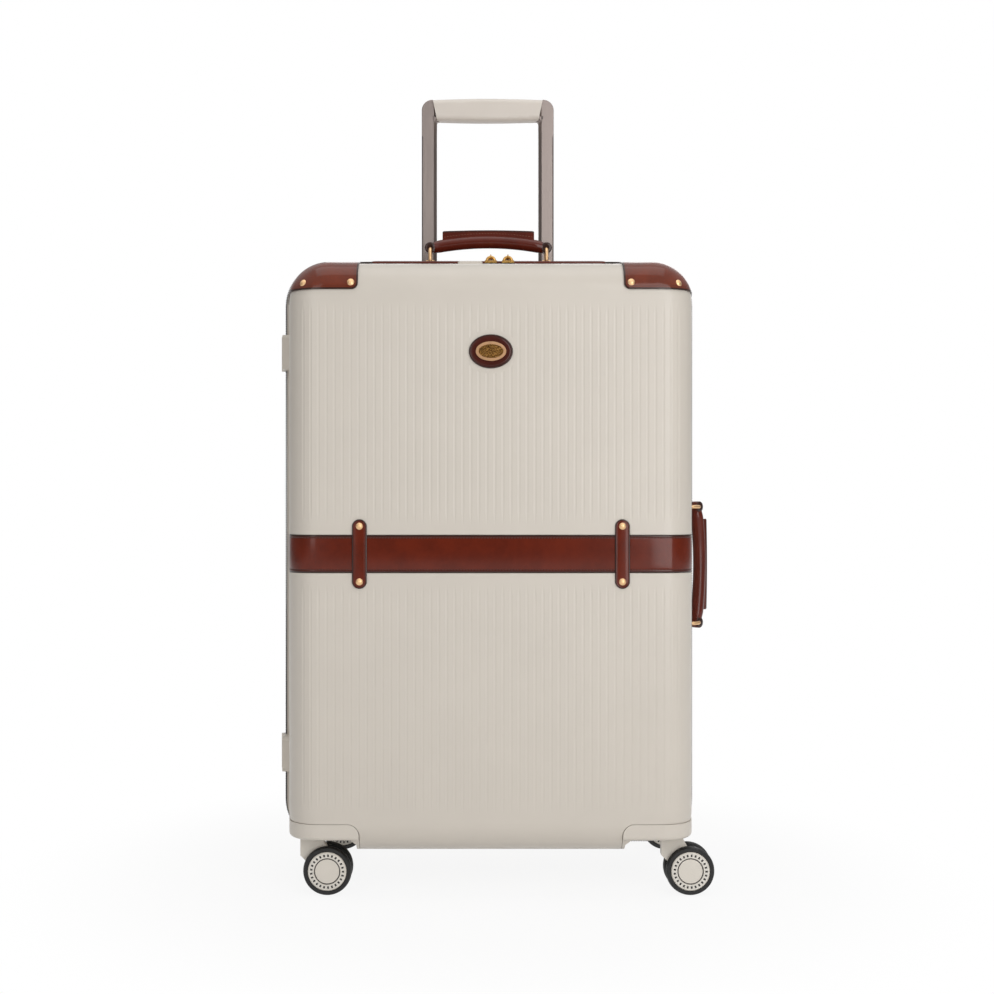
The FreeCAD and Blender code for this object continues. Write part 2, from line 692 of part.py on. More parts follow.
def tube(name, outside, inside, top, length):
    """A hollow tube on the right of the trolley, between two offsets from the inner tube's section."""
    owner = body(name)
    drawing = sketch(owner, "XY_Plane")
    tube_outline(drawing, outside)
    if inside is not None:
        tube_outline(drawing, inside)
    pad(owner, drawing, length)
    return place(owner, s.tube_spacing / 2, TROLLEY, top - length)


INNER_OUT, INNER_IN = size(0), -s.tube_wall
MIDDLE_IN = s.tube_play
MIDDLE_OUT = MIDDLE_IN + s.tube_wall
OUTER_IN = MIDDLE_OUT + s.tube_play
OUTER_OUT = OUTER_IN + s.tube_wall
FOOT_REACH = s.tube_depth / 2 + OUTER_OUT + s.tray_wall
floor_bore = tube("floor_bore", OUTER_IN, None, TRAY_FLOOR + OVER, s.tray_floor + OVER * 2)
collar = cut("collar", fuse("collar_blank", tray_walls, tray_flange), tray_hollow,
             pair("floor_bores", floor_bore))
node("trolley_collar", collar)

shell_base = cut("shell_base", front_outer, cavity, corner_cuts, guard_pins)
front_grooves = group("front_grooves", cut("front_upper_grooves", upper_grooves, badge_clearing),
                      lower_grooves)
lock_opening = lock_well("lock_opening", s.lock_seat_gap, ABOVE)
node("front_shell", cut("front_shell", shell_base, keeper_pins, channel, lock_opening, front_grooves))
node("rear_shell", cut("rear_shell", turned("rear_shell_base", shell_base), tray_opening, rear_grooves))

# Linings and packing straps: cloth skins that go round the caster corners and the trolley.
def lining(half, side):
    """A cloth skin inside a half shell."""
    layers = []
    for layer, extra in (("out", size(0)), ("in", s.lining_thickness)):
        inset = s.wall + s.lining_gap + extra
        inner = HOUSING_INNER - s.housing_seam - s.lining_gap - extra
        top = HOUSING_TOP + s.housing_seam + s.lining_gap + extra
        blocks = [pair(f"{half}_lining_corners_{layer}", box(
            f"{half}_lining_corner_{layer}", (inner, FAR_SIDE), (-BEYOND, BEYOND), (BELOW, top)))]
        if side == FRONT:
            blocks.append(lock_well(f"lining_lock_{layer}", s.lock_seat_gap + s.lining_gap + extra, ABOVE))
        else:
            front = TROLLEY - FOOT_REACH - s.lining_gap - extra
            hump = TRAY_OUT + s.lining_gap + extra
            blocks.append(box(f"lining_hump_{layer}", (-hump, hump), (front, BEYOND),
                              (BELOW, ABOVE)))
            blocks.append(around_trolley(f"lining_tray_{layer}", hump, s.tray_wall + s.lining_gap + extra,
                                         (TRAY_FLOOR - s.tray_floor - s.lining_gap - extra, ABOVE)))
        layers.append(cut(f"{half}_lining_{layer}", shell_blank(f"{half}_lining_skin_{layer}", inset, side),
                          *blocks))
    return node(f"{half}_lining", cut(f"{half}_lining", *layers))


for half, side in HALVES.items():
    lining(half, side)

PACKING_INSET = s.wall + s.lining_gap + s.lining_thickness
packing_skin = cut("packing_skin", shell_blank("packing_out", PACKING_INSET, FRONT),
                   shell_blank("packing_in", PACKING_INSET + s.packing_strap_thickness, FRONT))
packing = []
for number, way in enumerate((-1, 1), start=1):
    middle = s.case_centre + s.packing_strap_spacing * way / 2
    slab = band(f"packing_band_{number}", middle - s.packing_strap_width / 2,
                middle + s.packing_strap_width / 2, FRONT, s.rim_gap + s.packing_strap_setback)
    packing.append(common(f"packing_strap_{number}", packing_skin, slab))
node("packing_straps", group("packing_straps", *packing))

# Zip: a tape with half of the coil on each rim, left out where the hinges are.
HINGE_X = -(s.rim_width / 2 + s.hinge_offset)
TAPE_OUT = s.tape_offset + s.tape_thickness
COIL_OUT = TAPE_OUT + s.coil_height
hinge_heights = [s.case_centre + s.hinge_spacing * way / 2 for way in (-1, 1)]
hinge_rooms = group("hinge_rooms", *[
    box(f"hinge_room_{number}", (HINGE_X - PAST, HINGE_X + PAST), (-s.rim_gap, s.rim_gap),
        (middle - s.hinge_height / 2 - OVER, middle + s.hinge_height / 2 + OVER))
    for number, middle in enumerate(hinge_heights, start=1)])
for half, side in HALVES.items():
    tape = rim_prism(f"{half}_tape", TAPE_OUT, s.zip_half_gap, s.rim_gap, side)
    coil = rim_prism(f"{half}_coil", COIL_OUT, s.zip_half_gap, s.zip_half_gap + s.coil_half_width, side)
    inside = rim_prism(f"{half}_tape_inside", s.tape_offset, 0, s.rim_gap, side)
    zip_half = cut(f"{half}_zip_tape", fuse(f"{half}_zip_blank", tape, coil), inside, hinge_rooms)
    node(f"{half}_zip_tape", zip_half)

COIL_TOP = RIM_TOP + COIL_OUT
PLATE_LOW = COIL_TOP + s.slider_clearance
PLATE_TOP = PLATE_LOW + s.slider_plate
ARCH_BASE = PLATE_TOP
STANDING_IN_XZ = Rotation(Vector(1, 0, 0), 90)
STANDING_IN_YZ = Rotation(Vector(0, 1, 0), Vector(0, 0, 1), Vector(1, 0, 0), "ZXY")
HANGING_IN_YZ = Rotation(Vector(0, -1, 0), Vector(0, 0, -1), Vector(1, 0, 0), "ZXY")


def ring_part(name, radius, wire, sweep, x, y, z, turn):
    """A ring of round wire, or part of one."""
    bend = bind(doc.addObject("Part::Torus", name), Radius1=radius, Radius2=wire)
    bend.Angle3 = sweep
    return place(bend, x, y, z, turn)


def zip_slider(name, x):
    """A slider that runs on the coil, with an arch that its pull hangs on."""
    plate = box(f"{name}_plate", (x - s.slider_length / 2, x + s.slider_length / 2),
                (s.slider_width / -2, s.slider_width / 2), (PLATE_LOW, PLATE_TOP))
    flange = box(f"{name}_flange", (x - s.slider_length / 2, x + s.slider_length / 2),
                 (s.slider_width / 2 - s.slider_flange, s.slider_width / 2),
                 (COIL_TOP - s.coil_height + s.slider_clearance, PLATE_TOP))
    arch = ring_part(f"{name}_arch", s.arch_radius, s.arch_wire, 180, x, 0, ARCH_BASE, STANDING_IN_XZ)
    return node(name, fuse(name, plate, flange, arch))


def zip_pull(name, x):
    """A pull whose eye rides on the slider's arch and whose tab lies back over the handle base."""
    height = ARCH_BASE + s.arch_radius
    eye = ring_part(f"{name}_eye", s.pull_eye_radius, s.pull_eye_wire, 360, x, 0, height, ALONG_X)
    start = s.pull_eye_radius
    tab = box(f"{name}_tab", (x - s.pull_width / 2, x + s.pull_width / 2), (start, start + s.pull_length),
              (height - s.pull_thickness / 2, height + s.pull_thickness / 2))
    return node(name, fuse(name, eye, tab))


for name, x in (("left", s.left_slider_place), ("right", s.right_slider_place)):
    zip_slider(f"{name}_zip_slider", x)
    zip_pull(f"{name}_zip_pull", x)

# Hinges: leaves on the left wall of each half, with knuckles that share a pin.
def hinge_leaf(half, side, number, middle):
    """One leaf: a plate on the wall and the knuckles that belong to it."""
    name = f"{half}_leaf_{number}"
    low, high = middle - s.hinge_height / 2, middle + s.hinge_height / 2
    reach = sorted((s.leaf_root * side, (s.leaf_root + s.leaf_length) * side),
                   key=lambda place_y: place_y.value)
    owner = body(f"{name}_plate")
    drawing = sketch(owner, "YZ_Plane")
    outline(drawing, [(reach[0], low), (reach[1], low), (reach[1], high), (reach[0], high)])
    raised = pad(owner, drawing, s.hinge_offset + s.leaf_sink)
    far = (s.leaf_root + s.leaf_length) * side
    round_edges(owner, raised, s.leaf_corner,
                lambda edge: runs_along(edge, "x") and abs(edge.CenterOfMass.y - far.value) < 0.01, "corners")
    place(owner, HINGE_X + s.leaf_axis_gap, 0, 0)
    plate = cut(f"{name}_seat", owner, outer_solids[half])
    share = s.knuckle_share / 2
    if side == FRONT:
        spans = [(middle - share, middle + share)]
        bore = s.hinge_pin_radius + s.hinge_play
    else:
        spans = [(low, middle - share - s.knuckle_gap), (middle + share + s.knuckle_gap, high)]
        bore = s.hinge_pin_radius
    knuckles = []
    for part, (start, stop) in enumerate(spans, start=1):
        knuckles.append(rod(f"{name}_knuckle_{part}", s.knuckle_radius, stop - start, HINGE_X, 0, start))
        web = sorted((size(0), (s.leaf_root + s.web_lap) * side), key=lambda place_y: place_y.value)
        knuckles.append(box(f"{name}_web_{part}",
                            (HINGE_X + s.leaf_axis_gap, HINGE_X + s.knuckle_radius), web, (start, stop)))
    whole = fuse(f"{name}_blank", plate, *knuckles)
    return cut(name, whole, rod(f"{name}_bore", bore, s.hinge_height + OVER * 2, HINGE_X, 0, low - OVER))


for half, side in HALVES.items():
    leaves = [hinge_leaf(half, side, number, middle) for number, middle in enumerate(hinge_heights, start=1)]
    node(f"{half}_hinge_leaves", group(f"{half}_hinge_leaves", *leaves))
node("hinge_pins", group("hinge_pins", *[
    rod(f"hinge_pin_{number}", s.hinge_pin_radius, s.hinge_height, HINGE_X, 0, middle - s.hinge_height / 2)
    for number, middle in enumerate(hinge_heights, start=1)]))

# Lock on the front half's top wall: a housing, three number dials and a release slide.
DIAL_HEIGHT = LOCK_TOP + s.dial_proud - s.dial_radius
DIAL_Y = LOCK_FRONT + s.lock_edge + s.lock_front_wall + s.dial_room + s.dial_radius


def lock_housing():
    """A moulded block with a window for the dials, their axle and a recess for the release."""
    owner = body("lock_block")
    drawing = sketch(owner, "XY_Plane")
    left, right = s.lock_place - s.lock_width / 2, s.lock_place + s.lock_width / 2
    outline(drawing, [(left, LOCK_FRONT), (right, LOCK_FRONT), (right, LOCK_BACK), (left, LOCK_BACK)])
    raised = pad(owner, drawing, s.lock_rise + PAST)
    upright = round_edges(owner, raised, s.lock_edge, lambda edge: runs_along(edge, "z"), "corners")
    top = max(vertex.Z for vertex in upright.Shape.Vertexes)
    round_edges(owner, upright, s.lock_top_edge,
                lambda edge: abs(edge.CenterOfMass.z - top) < 0.01, "top_edge")
    place(owner, 0, 0, LOCK_TOP - s.lock_rise - PAST)
    seated = cut("lock_seated", owner, outer_solids["front"])
    half = s.dial_pitch + s.dial_width / 2 + s.dial_room
    window = box("dial_window", (s.lock_place - half, s.lock_place + half),
                 (DIAL_Y - s.dial_radius - s.dial_room, DIAL_Y + s.dial_radius + s.dial_room),
                 (DIAL_HEIGHT - s.dial_radius - s.dial_room, LOCK_TOP + PAST))
    slot_half = s.release_width / 2 + s.release_play
    slot = box("release_slot",
               (RELEASE_LEFT - s.release_play, RELEASE_RIGHT + s.release_travel + s.release_play),
               (RELEASE_Y - slot_half, RELEASE_Y + slot_half),
               (LOCK_TOP + s.release_proud - s.release_height - s.release_play, LOCK_TOP + PAST))
    axle = rod("dial_axle", s.dial_axle_radius, half * 2 + OVER * 2, s.lock_place - half - OVER, DIAL_Y,
               DIAL_HEIGHT, ALONG_X)
    solid = fuse("lock_solid", seated, lock_well("lock_inside", 0, LOCK_TOP - s.lock_top_edge))
    return node("lock_housing", fuse("lock_housing", cut("lock_hollow", solid, window, slot), axle))


RELEASE_LEFT = s.lock_place - s.release_length / 2 - s.release_travel / 2
RELEASE_RIGHT = RELEASE_LEFT + s.release_length
RELEASE_Y = LOCK_BACK - s.release_inset - s.release_width / 2
lock_housing()
node("lock_release", box("lock_release", (RELEASE_LEFT, RELEASE_RIGHT),
                         (RELEASE_Y - s.release_width / 2, RELEASE_Y + s.release_width / 2),
                         (LOCK_TOP + s.release_proud - s.release_height, LOCK_TOP + s.release_proud)))


def lock_dial(name, x):
    """A number dial with ten notches round its rim, turning on the lock's axle."""
    owner = body(name)
    drawing = sketch(owner, "YZ_Plane")
    for radius in (s.dial_radius, s.dial_axle_radius + s.dial_play):
        circle = drawing.addGeometry(Part.Circle(Vector(), Vector(0, 0, 1), radius.value), False)
        drawing.addConstraint(Sketcher.Constraint("Coincident", circle, 3, -1, 1))
        rule = drawing.addConstraint(Sketcher.Constraint("Radius", circle, radius.value))
        drawing.setExpression(f"Constraints[{rule}]", radius.text)
    pad(owner, drawing, s.dial_width, symmetric=True)
    notch = sketch(owner, "YZ_Plane", "notch")
    bottom, past = s.dial_radius - s.dial_notch, s.dial_radius + OVER
    outline(notch, [(-s.dial_notch, bottom), (s.dial_notch, bottom),
                    (s.dial_notch, past), (-s.dial_notch, past)])
    groove = owner.newObject("PartDesign::Pocket", f"{name}_groove")
    groove.Profile = notch
    groove.SideType = "Symmetric"
    bind(groove, Length=s.dial_width + OVER * 2)
    doc.recompute()
    ring = owner.newObject("PartDesign::PolarPattern", f"{name}_notches")
    ring.Originals = [groove]
    ring.Axis = (notch, ["N_Axis"])
    ring.Angle = 360
    ring.Occurrences = SIZES["dial_notch_count"]
    owner.Tip = ring
    return node(name, place(owner, x, DIAL_Y, DIAL_HEIGHT))


for way, name in ((-1, "left_lock_dial"), (0, "middle_lock_dial"), (1, "right_lock_dial")):
    lock_dial(name, s.lock_place + s.dial_pitch * way)

# Carry handles: a leather-covered base on top, brackets, rings and stitched grips.
BASE_TOP = RIM_TOP + s.base_rise
PIVOT = BASE_TOP + s.pivot_rise
RING_REACH = s.ring_radius + s.ring_wire
HANDLE = s.handle_setback


def handle_base():
    """A block on the sloping top wall with a level top, and slots for the rings to turn in."""
    owner = body("base_block")
    drawing = sketch(owner, "XY_Plane")
    outline(drawing, [(s.base_width / -2, s.base_front), (s.base_width / 2, s.base_front),
                      (s.base_width / 2, s.base_front + s.base_length),
                      (s.base_width / -2, s.base_front + s.base_length)])
    raised = pad(owner, drawing, s.base_rise + PAST)
    upright = round_edges(owner, raised, s.base_corner, lambda edge: runs_along(edge, "z"), "corners")
    top = max(vertex.Z for vertex in upright.Shape.Vertexes)
    round_edges(owner, upright, s.base_edge, lambda edge: abs(edge.CenterOfMass.z - top) < 0.01, "top_edge")
    place(owner, 0, 0, BASE_TOP - s.base_rise - PAST)
    seated = cut("base_seated", owner, outer_solids["rear"])
    half = s.ring_wire + s.ring_room
    reach = RING_REACH + s.ring_room + s.slot_run
    slot = box("ring_slot", (s.handle_span / 2 - half, s.handle_span / 2 + half),
               (HANDLE - reach, HANDLE + reach),
               (PIVOT - RING_REACH - s.ring_room, BASE_TOP + PAST))
    return node("top_handle_base", cut("top_handle_base", seated, pair("ring_slots", slot)))


handle_base()


def handle_bracket(name, x, seat):
    """A clevis whose bar holds the bottom of a ring, in the handle's own frame, reaching down by the seat."""
    half = s.ring_wire + s.ring_room
    spans = ((x - s.bracket_length / 2, x - half), (x + half, x + s.bracket_length / 2))
    cheeks = [box(f"{name}_cheek_{number}", span, (s.bracket_width / -2, s.bracket_width / 2),
                  (-size(seat), -s.bracket_top_drop))
              for number, span in enumerate(spans, start=1)]
    bar_half = half + s.bracket_bar_lap
    bar = rod(f"{name}_bar", s.bracket_bar, bar_half * 2, x - bar_half, 0, -s.bracket_bar_drop, ALONG_X)
    return fuse(name, *cheeks, bar)


def ring_loop(name, x):
    """A long ring in the handle's own frame: two half bends and two straight sides."""
    wire = s.ring_wire
    bends = [ring_part(f"{name}_foot", s.ring_radius, wire, 180, x, 0, 0, HANGING_IN_YZ),
             ring_part(f"{name}_crown", s.ring_radius, wire, 180, x, 0, s.ring_straight, STANDING_IN_YZ)]
    sides = [rod(f"{name}_side_{number}", wire, s.ring_straight, x, s.ring_radius * way, 0)
             for number, way in enumerate((-1, 1), start=1)]
    return fuse(name, *bends, *sides)


END_RISE = s.ring_straight + s.ring_radius


def carry_grip():
    """An arched leather tube with a sewn seam along its back and loops round the rings at its ends."""
    half = s.handle_span / 2
    bow = (half * half + s.grip_rise * s.grip_rise) / (s.grip_rise * 2)
    owner = body("grip_tube")
    path = sketch(owner, "XZ_Plane", "path")
    low = Vector(-half.value, END_RISE.value, 0)
    high = Vector(half.value, END_RISE.value, 0)
    path.addGeometry(Part.Arc(low, Vector(0, (END_RISE + s.grip_rise).value, 0), high), False)
    hold(path, 0, 2, -half, END_RISE)
    hold(path, 0, 1, half, END_RISE)
    rule = path.addConstraint(Sketcher.Constraint("Radius", 0, bow.value))
    path.setExpression(f"Constraints[{rule}]", bow.text)
    section = sketch(owner, "YZ_Plane", "section")
    circle = section.addGeometry(Part.Circle(Vector(0, (END_RISE + s.grip_rise).value, 0), Vector(0, 0, 1),
                                             s.grip_radius.value), False)
    section.addConstraint(Sketcher.Constraint("PointOnObject", circle, 3, -2))
    rule = section.addConstraint(Sketcher.Constraint("DistanceY", circle, 3, (END_RISE + s.grip_rise).value))
    section.setExpression(f"Constraints[{rule}]", (END_RISE + s.grip_rise).text)
    rule = section.addConstraint(Sketcher.Constraint("Radius", circle, s.grip_radius.value))
    section.setExpression(f"Constraints[{rule}]", s.grip_radius.text)
    doc.recompute()
    swept = owner.newObject("PartDesign::AdditivePipe", "grip_swept")
    swept.Profile = section
    swept.Spine = path
    doc.recompute()
    seam_owner = body("grip_seam")
    drawing = sketch(seam_owner, "XZ_Plane")
    reach = s.seam_length / 2
    top = END_RISE + s.seam_rise + s.grip_rise
    outline(drawing, [(-reach, END_RISE), (reach, END_RISE), (reach, top), (-reach, top)],
            {0: -bow, 2: bow * s.seam_flatness})
    pad(seam_owner, drawing, s.seam_thickness, symmetric=True)
    loops = [rod(f"grip_loop_{number}", s.grip_end_radius, s.grip_end_width, half * way,
                 s.grip_end_width / -2, END_RISE, ALONG_Y) for number, way in enumerate((-1, 1), start=1)]
    rooms = pair("ring_rooms", ring_loop("ring_room", half))
    return cut("carry_grip", fuse("grip_blank", owner, seam_owner, *loops), rooms)


grip = carry_grip()
rings = pair("carry_rings", ring_loop("carry_ring", s.handle_span / 2))
bracket_top = pair("brackets_top", handle_bracket("bracket_top", s.handle_span / 2, s.pivot_rise))
SIDE_Y = s.handle_setback
SIDE_PIVOT = s.rim_width / 2 - narrowing(SIDE_Y - RING_REACH) + RING_REACH + s.ring_room
SIDE_HEIGHT = s.case_centre + s.side_handle_rise
ON_THE_SIDE = Rotation(Vector(0, 0, -1), Vector(0, 1, 0), Vector(1, 0, 0), "ZXY")
SWUNG = Rotation(Vector(0, 0, 1), SIZES["side_handle_swing"]).multiply(ON_THE_SIDE)
bracket_side = pair("brackets_side", handle_bracket(
    "bracket_side", s.handle_span / 2, RING_REACH + s.bracket_sink))


node("top_handle_grip", copy_at("top_handle_grip", grip, 0, HANDLE, PIVOT))
node("top_handle_rings", copy_at("top_handle_rings", rings, 0, HANDLE, PIVOT))
node("side_handle_grip", copy_at("side_handle_grip", grip, SIDE_PIVOT, SIDE_Y, SIDE_HEIGHT, SWUNG))
node("side_handle_rings", copy_at("side_handle_rings", rings, SIDE_PIVOT, SIDE_Y, SIDE_HEIGHT, SWUNG))
side_placed = copy_at("side_brackets_placed", bracket_side, SIDE_PIVOT, SIDE_Y, SIDE_HEIGHT, ON_THE_SIDE)
side_brackets = cut("side_brackets", side_placed, outer_solids["rear"])
node("handle_brackets", group("handle_brackets", copy_at("top_brackets", bracket_top, 0, HANDLE, PIVOT),
                              side_brackets))

# Trolley: outer, middle and inner tubes, the grip with its corners, and the release.
node("trolley_outer_tubes", pair("trolley_outer_tubes", tube(
    "outer_tube", OUTER_OUT, OUTER_IN, TRAY_FLOOR - s.tray_floor, s.outer_tube_length)))
node("trolley_middle_tubes", pair("trolley_middle_tubes", tube(
    "middle_tube", MIDDLE_OUT, MIDDLE_IN, TRAY_FLOOR, s.middle_tube_length)))
CORNER_LOW = s.grip_top - s.corner_drop
node("trolley_inner_tubes", pair("trolley_inner_tubes", tube(
    "inner_tube", INNER_OUT, INNER_IN, CORNER_LOW, s.inner_tube_length)))

TUBE_LOW = TRAY_FLOOR - s.tray_floor - s.outer_tube_length
foot_half = s.tube_spacing / 2 + s.tube_width / 2 + OUTER_OUT + s.tray_wall
foot_block = box("foot_block", (-foot_half, foot_half), (TROLLEY - FOOT_REACH, TROLLEY + FOOT_REACH),
                 (RIM_BOTTOM, TUBE_LOW + s.trolley_foot_height))
foot_socket = tube("foot_socket", OUTER_OUT, None, TUBE_LOW + s.trolley_foot_height + OVER,
                   s.trolley_foot_height + OVER)
foot_clear = s.tube_spacing / 2 - s.tube_width
foot_window = box("foot_window", (-foot_clear, foot_clear),
                  (TROLLEY - FOOT_REACH - OVER, TROLLEY + FOOT_REACH + OVER),
                  (RIM_BOTTOM, TUBE_LOW + s.trolley_foot_height - s.tray_floor))
foot_seated = common("foot_seated", foot_block, shell_blank("rear_cavity", s.wall, REAR))
node("trolley_foot", cut("trolley_foot", foot_seated, pair("foot_sockets", foot_socket), foot_window))

GRIP_LOW = s.grip_top - s.grip_height
LINK_HEIGHT = s.grip_top - s.link_drop


def grip_bar():
    """The grip between the corner pieces: slanted ends, a crowned top and a full underside."""
    owner = body("grip_bar")
    drawing = sketch(owner, "XZ_Plane")
    top, low = s.grip_half_top, s.grip_half_bottom
    crown_bow = (top * top + s.grip_crown * s.grip_crown) / (s.grip_crown * 2)
    belly_bow = (low * low + s.grip_belly * s.grip_belly) / (s.grip_belly * 2)
    outline(drawing, [(-low, GRIP_LOW), (low, GRIP_LOW), (top, s.grip_top - s.grip_crown),
                      (-top, s.grip_top - s.grip_crown)], {0: belly_bow, 2: crown_bow})
    raised = pad(owner, drawing, s.grip_depth, symmetric=True)
    sides = s.grip_depth.value / 2
    long = s.grip_half_bottom.value
    round_edges(owner, raised, s.grip_edge,
                lambda edge: abs(abs(edge.CenterOfMass.y) - sides) < 0.01
                and edge.BoundBox.XLength > long, "edges")
    return place(owner, 0, TROLLEY, 0)


def grip_corner():
    """The right corner piece: a bend from the tube to the slanted end of the grip."""
    owner = body("grip_corner")
    drawing = sketch(owner, "XZ_Plane")
    out = s.tube_spacing / 2 + s.tube_width / 2
    inner = s.tube_spacing / 2 - s.tube_width / 2
    bend = s.corner_outer_radius
    shoulder = s.grip_top - s.grip_crown
    outline(drawing, [(inner, CORNER_LOW), (out, CORNER_LOW), (out, shoulder - bend), (out - bend, shoulder),
                      (s.grip_half_top, shoulder), (s.grip_half_bottom, GRIP_LOW)], {2: bend})
    raised = pad(owner, drawing, s.tube_depth, symmetric=True)
    sides = s.tube_depth.value / 2
    round_edges(owner, raised, s.corner_edge,
                lambda edge: abs(abs(edge.CenterOfMass.y) - sides) < 0.01
                and edge.CenterOfMass.x > s.tube_spacing.value / 2 and not runs_along(edge, "x"), "edges")
    return place(owner, 0, TROLLEY, 0)


link_half = s.link_thickness / 2 + s.link_room
link_reach = s.tube_spacing / 2 + s.link_thickness / 2 + s.link_room
link_channel = box("link_channel", (-link_reach, link_reach), (TROLLEY - link_half, TROLLEY + link_half),
                   (LINK_HEIGHT - s.link_thickness / 2 - s.button_travel - s.link_room,
                    LINK_HEIGHT + s.link_thickness / 2 + s.link_room))
rod_bore = rod("rod_bore", s.rod_radius + s.link_room, s.corner_drop, s.tube_spacing / 2, TROLLEY,
               LINK_HEIGHT - s.corner_drop)
BUTTON_HIGH = s.grip_top + s.button_proud
BUTTON_LOW = BUTTON_HIGH - s.button_height
stem_half = s.link_thickness / 2
well_length, well_width = s.button_length / 2 + s.button_play, s.button_width / 2 + s.button_play
button_well = box("button_well", (-well_length, well_length), (TROLLEY - well_width, TROLLEY + well_width),
                  (BUTTON_LOW - s.button_travel - s.button_play, s.grip_top + PAST))
stem_well = box("stem_well", (-(stem_half + s.button_play), stem_half + s.button_play),
                (TROLLEY - stem_half - s.button_play, TROLLEY + stem_half + s.button_play),
                (LINK_HEIGHT, BUTTON_LOW))
node("trolley_grip", cut("trolley_grip", grip_bar(), link_channel, stem_well, button_well))
node("grip_corners", pair("grip_corners", cut("corner_piece", grip_corner(), link_channel, rod_bore)))


def release_button():
    """A rounded push button in the top of the grip."""
    owner = body("button_cap")
    drawing = sketch(owner, "XY_Plane")
    rectangle(drawing, s.button_length, s.button_width)
    raised = pad(owner, drawing, s.button_height)
    round_edges(owner, raised, s.button_corner, lambda edge: runs_along(edge, "z"), "corners")
    return node("release_button", place(owner, 0, TROLLEY, BUTTON_LOW))


release_button()
cross_reach = s.tube_spacing / 2 + s.link_thickness / 2
cross_bar = box("cross_bar", (-cross_reach, cross_reach), (TROLLEY - stem_half, TROLLEY + stem_half),
                (LINK_HEIGHT - stem_half, LINK_HEIGHT + stem_half))
link_stem = box("link_stem", (-stem_half, stem_half), (TROLLEY - stem_half, TROLLEY + stem_half),
                (LINK_HEIGHT, BUTTON_LOW))
link_rods = pair("link_rods", rod("link_rod", s.rod_radius, s.rod_length, s.tube_spacing / 2, TROLLEY,
                                  LINK_HEIGHT - s.rod_length))
node("release_linkage", fuse("release_linkage", cross_bar, link_stem, link_rods))

# Caster housings in the bottom corners, and the casters.
CROWN_TOP = HOUSING_FLOOR - s.crown_gap


def corner_form(name, inset, near, low, high):
    """A straight corner of the case's plan, moved in by an inset, between two heights."""
    inset = size(inset)
    low, inner = size(low), HOUSING_INNER - inset
    flat = s.rim_width / 2 - narrowing(s.half_depth) - edge_run()
    bend, face = s.edge_radius - inset, inset - s.half_depth
    wall = s.rim_width / 2 - narrowing(near) - inset / cosine(s.draft)
    turn = (flat + bend * cosine(s.draft), s.edge_radius - s.half_depth - bend * sine(s.draft))
    owner = body(name)
    drawing = sketch(owner, "XY_Plane")
    outline(drawing, [(inner, -near), (wall, -near), turn, (flat, face), (inner, face)], {2: -bend})
    raised = pad(owner, drawing, size(high) - low)
    return place(owner, 0, 0, low), raised


def outer_foot(edge):
    """Is this one of the lower edges of a corner form that show outside?"""
    middle = edge.CenterOfMass
    inner_end = abs(middle.x - HOUSING_INNER.value) < 0.01
    back = abs(middle.y + (BEAD_BACK + s.housing_seam).value) < 0.01
    return abs(edge.BoundBox.ZMax) < 0.01 and not inner_end and not back


def caster_housing():
    """The moulded corner that carries a caster: walls, floor, skirt, gusset and a boss for the swivel."""
    inner, top, wall = HOUSING_INNER, HOUSING_TOP, s.housing_wall
    near = BEAD_BACK + s.housing_seam
    inside = near + wall
    form, raised = corner_form("housing_form", 0, near, HOUSING_FLOOR, top)
    shoulder = round_edges(form, raised, s.housing_corner, edge_at("y", inner, top - HOUSING_FLOOR), "corner")
    round_edges(form, shoulder, s.housing_edge, outer_foot, "foot")
    hollow = corner_form("housing_hollow", wall, inside, HOUSING_FLOOR + wall, top + OVER)[0]
    toe = [(inner, HOUSING_FLOOR + OVER), (inner, BELOW), (inner + wall, BELOW),
           (inner + wall, HOUSING_FLOOR - s.gusset), (inner + wall + s.gusset, HOUSING_FLOOR),
           (inner + wall + s.gusset, HOUSING_FLOOR + OVER)]
    end_wall = body("housing_end_wall")
    drawing = sketch(end_wall, "XZ_Plane")
    outline(drawing, toe)
    pad(end_wall, drawing, BEYOND - near)
    place(end_wall, 0, -near, 0)
    skirt = box("housing_skirt", (inner, FAR_SIDE), (-inside, -near), (BELOW, HOUSING_FLOOR + OVER))
    walls = common("housing_walls", skins["front"], fuse("housing_wall_blank", end_wall, skirt))
    spot = (SWIVEL_X, -SWIVEL_Y)
    boss = rod("housing_boss", s.boss_radius, s.boss_height, *spot, HOUSING_FLOOR)
    bore = rod("housing_bore", s.stem_radius + s.stem_play, s.boss_height + OVER * 2, *spot,
               HOUSING_FLOOR - OVER)
    blank = fuse("housing_blank", cut("housing_skin", form, hollow), walls, boss)
    return cut("caster_housing", blank, bore)


front_housings = node("front_caster_housings", pair("front_caster_housings", caster_housing()))
node("rear_caster_housings", turned("rear_caster_housings", front_housings))


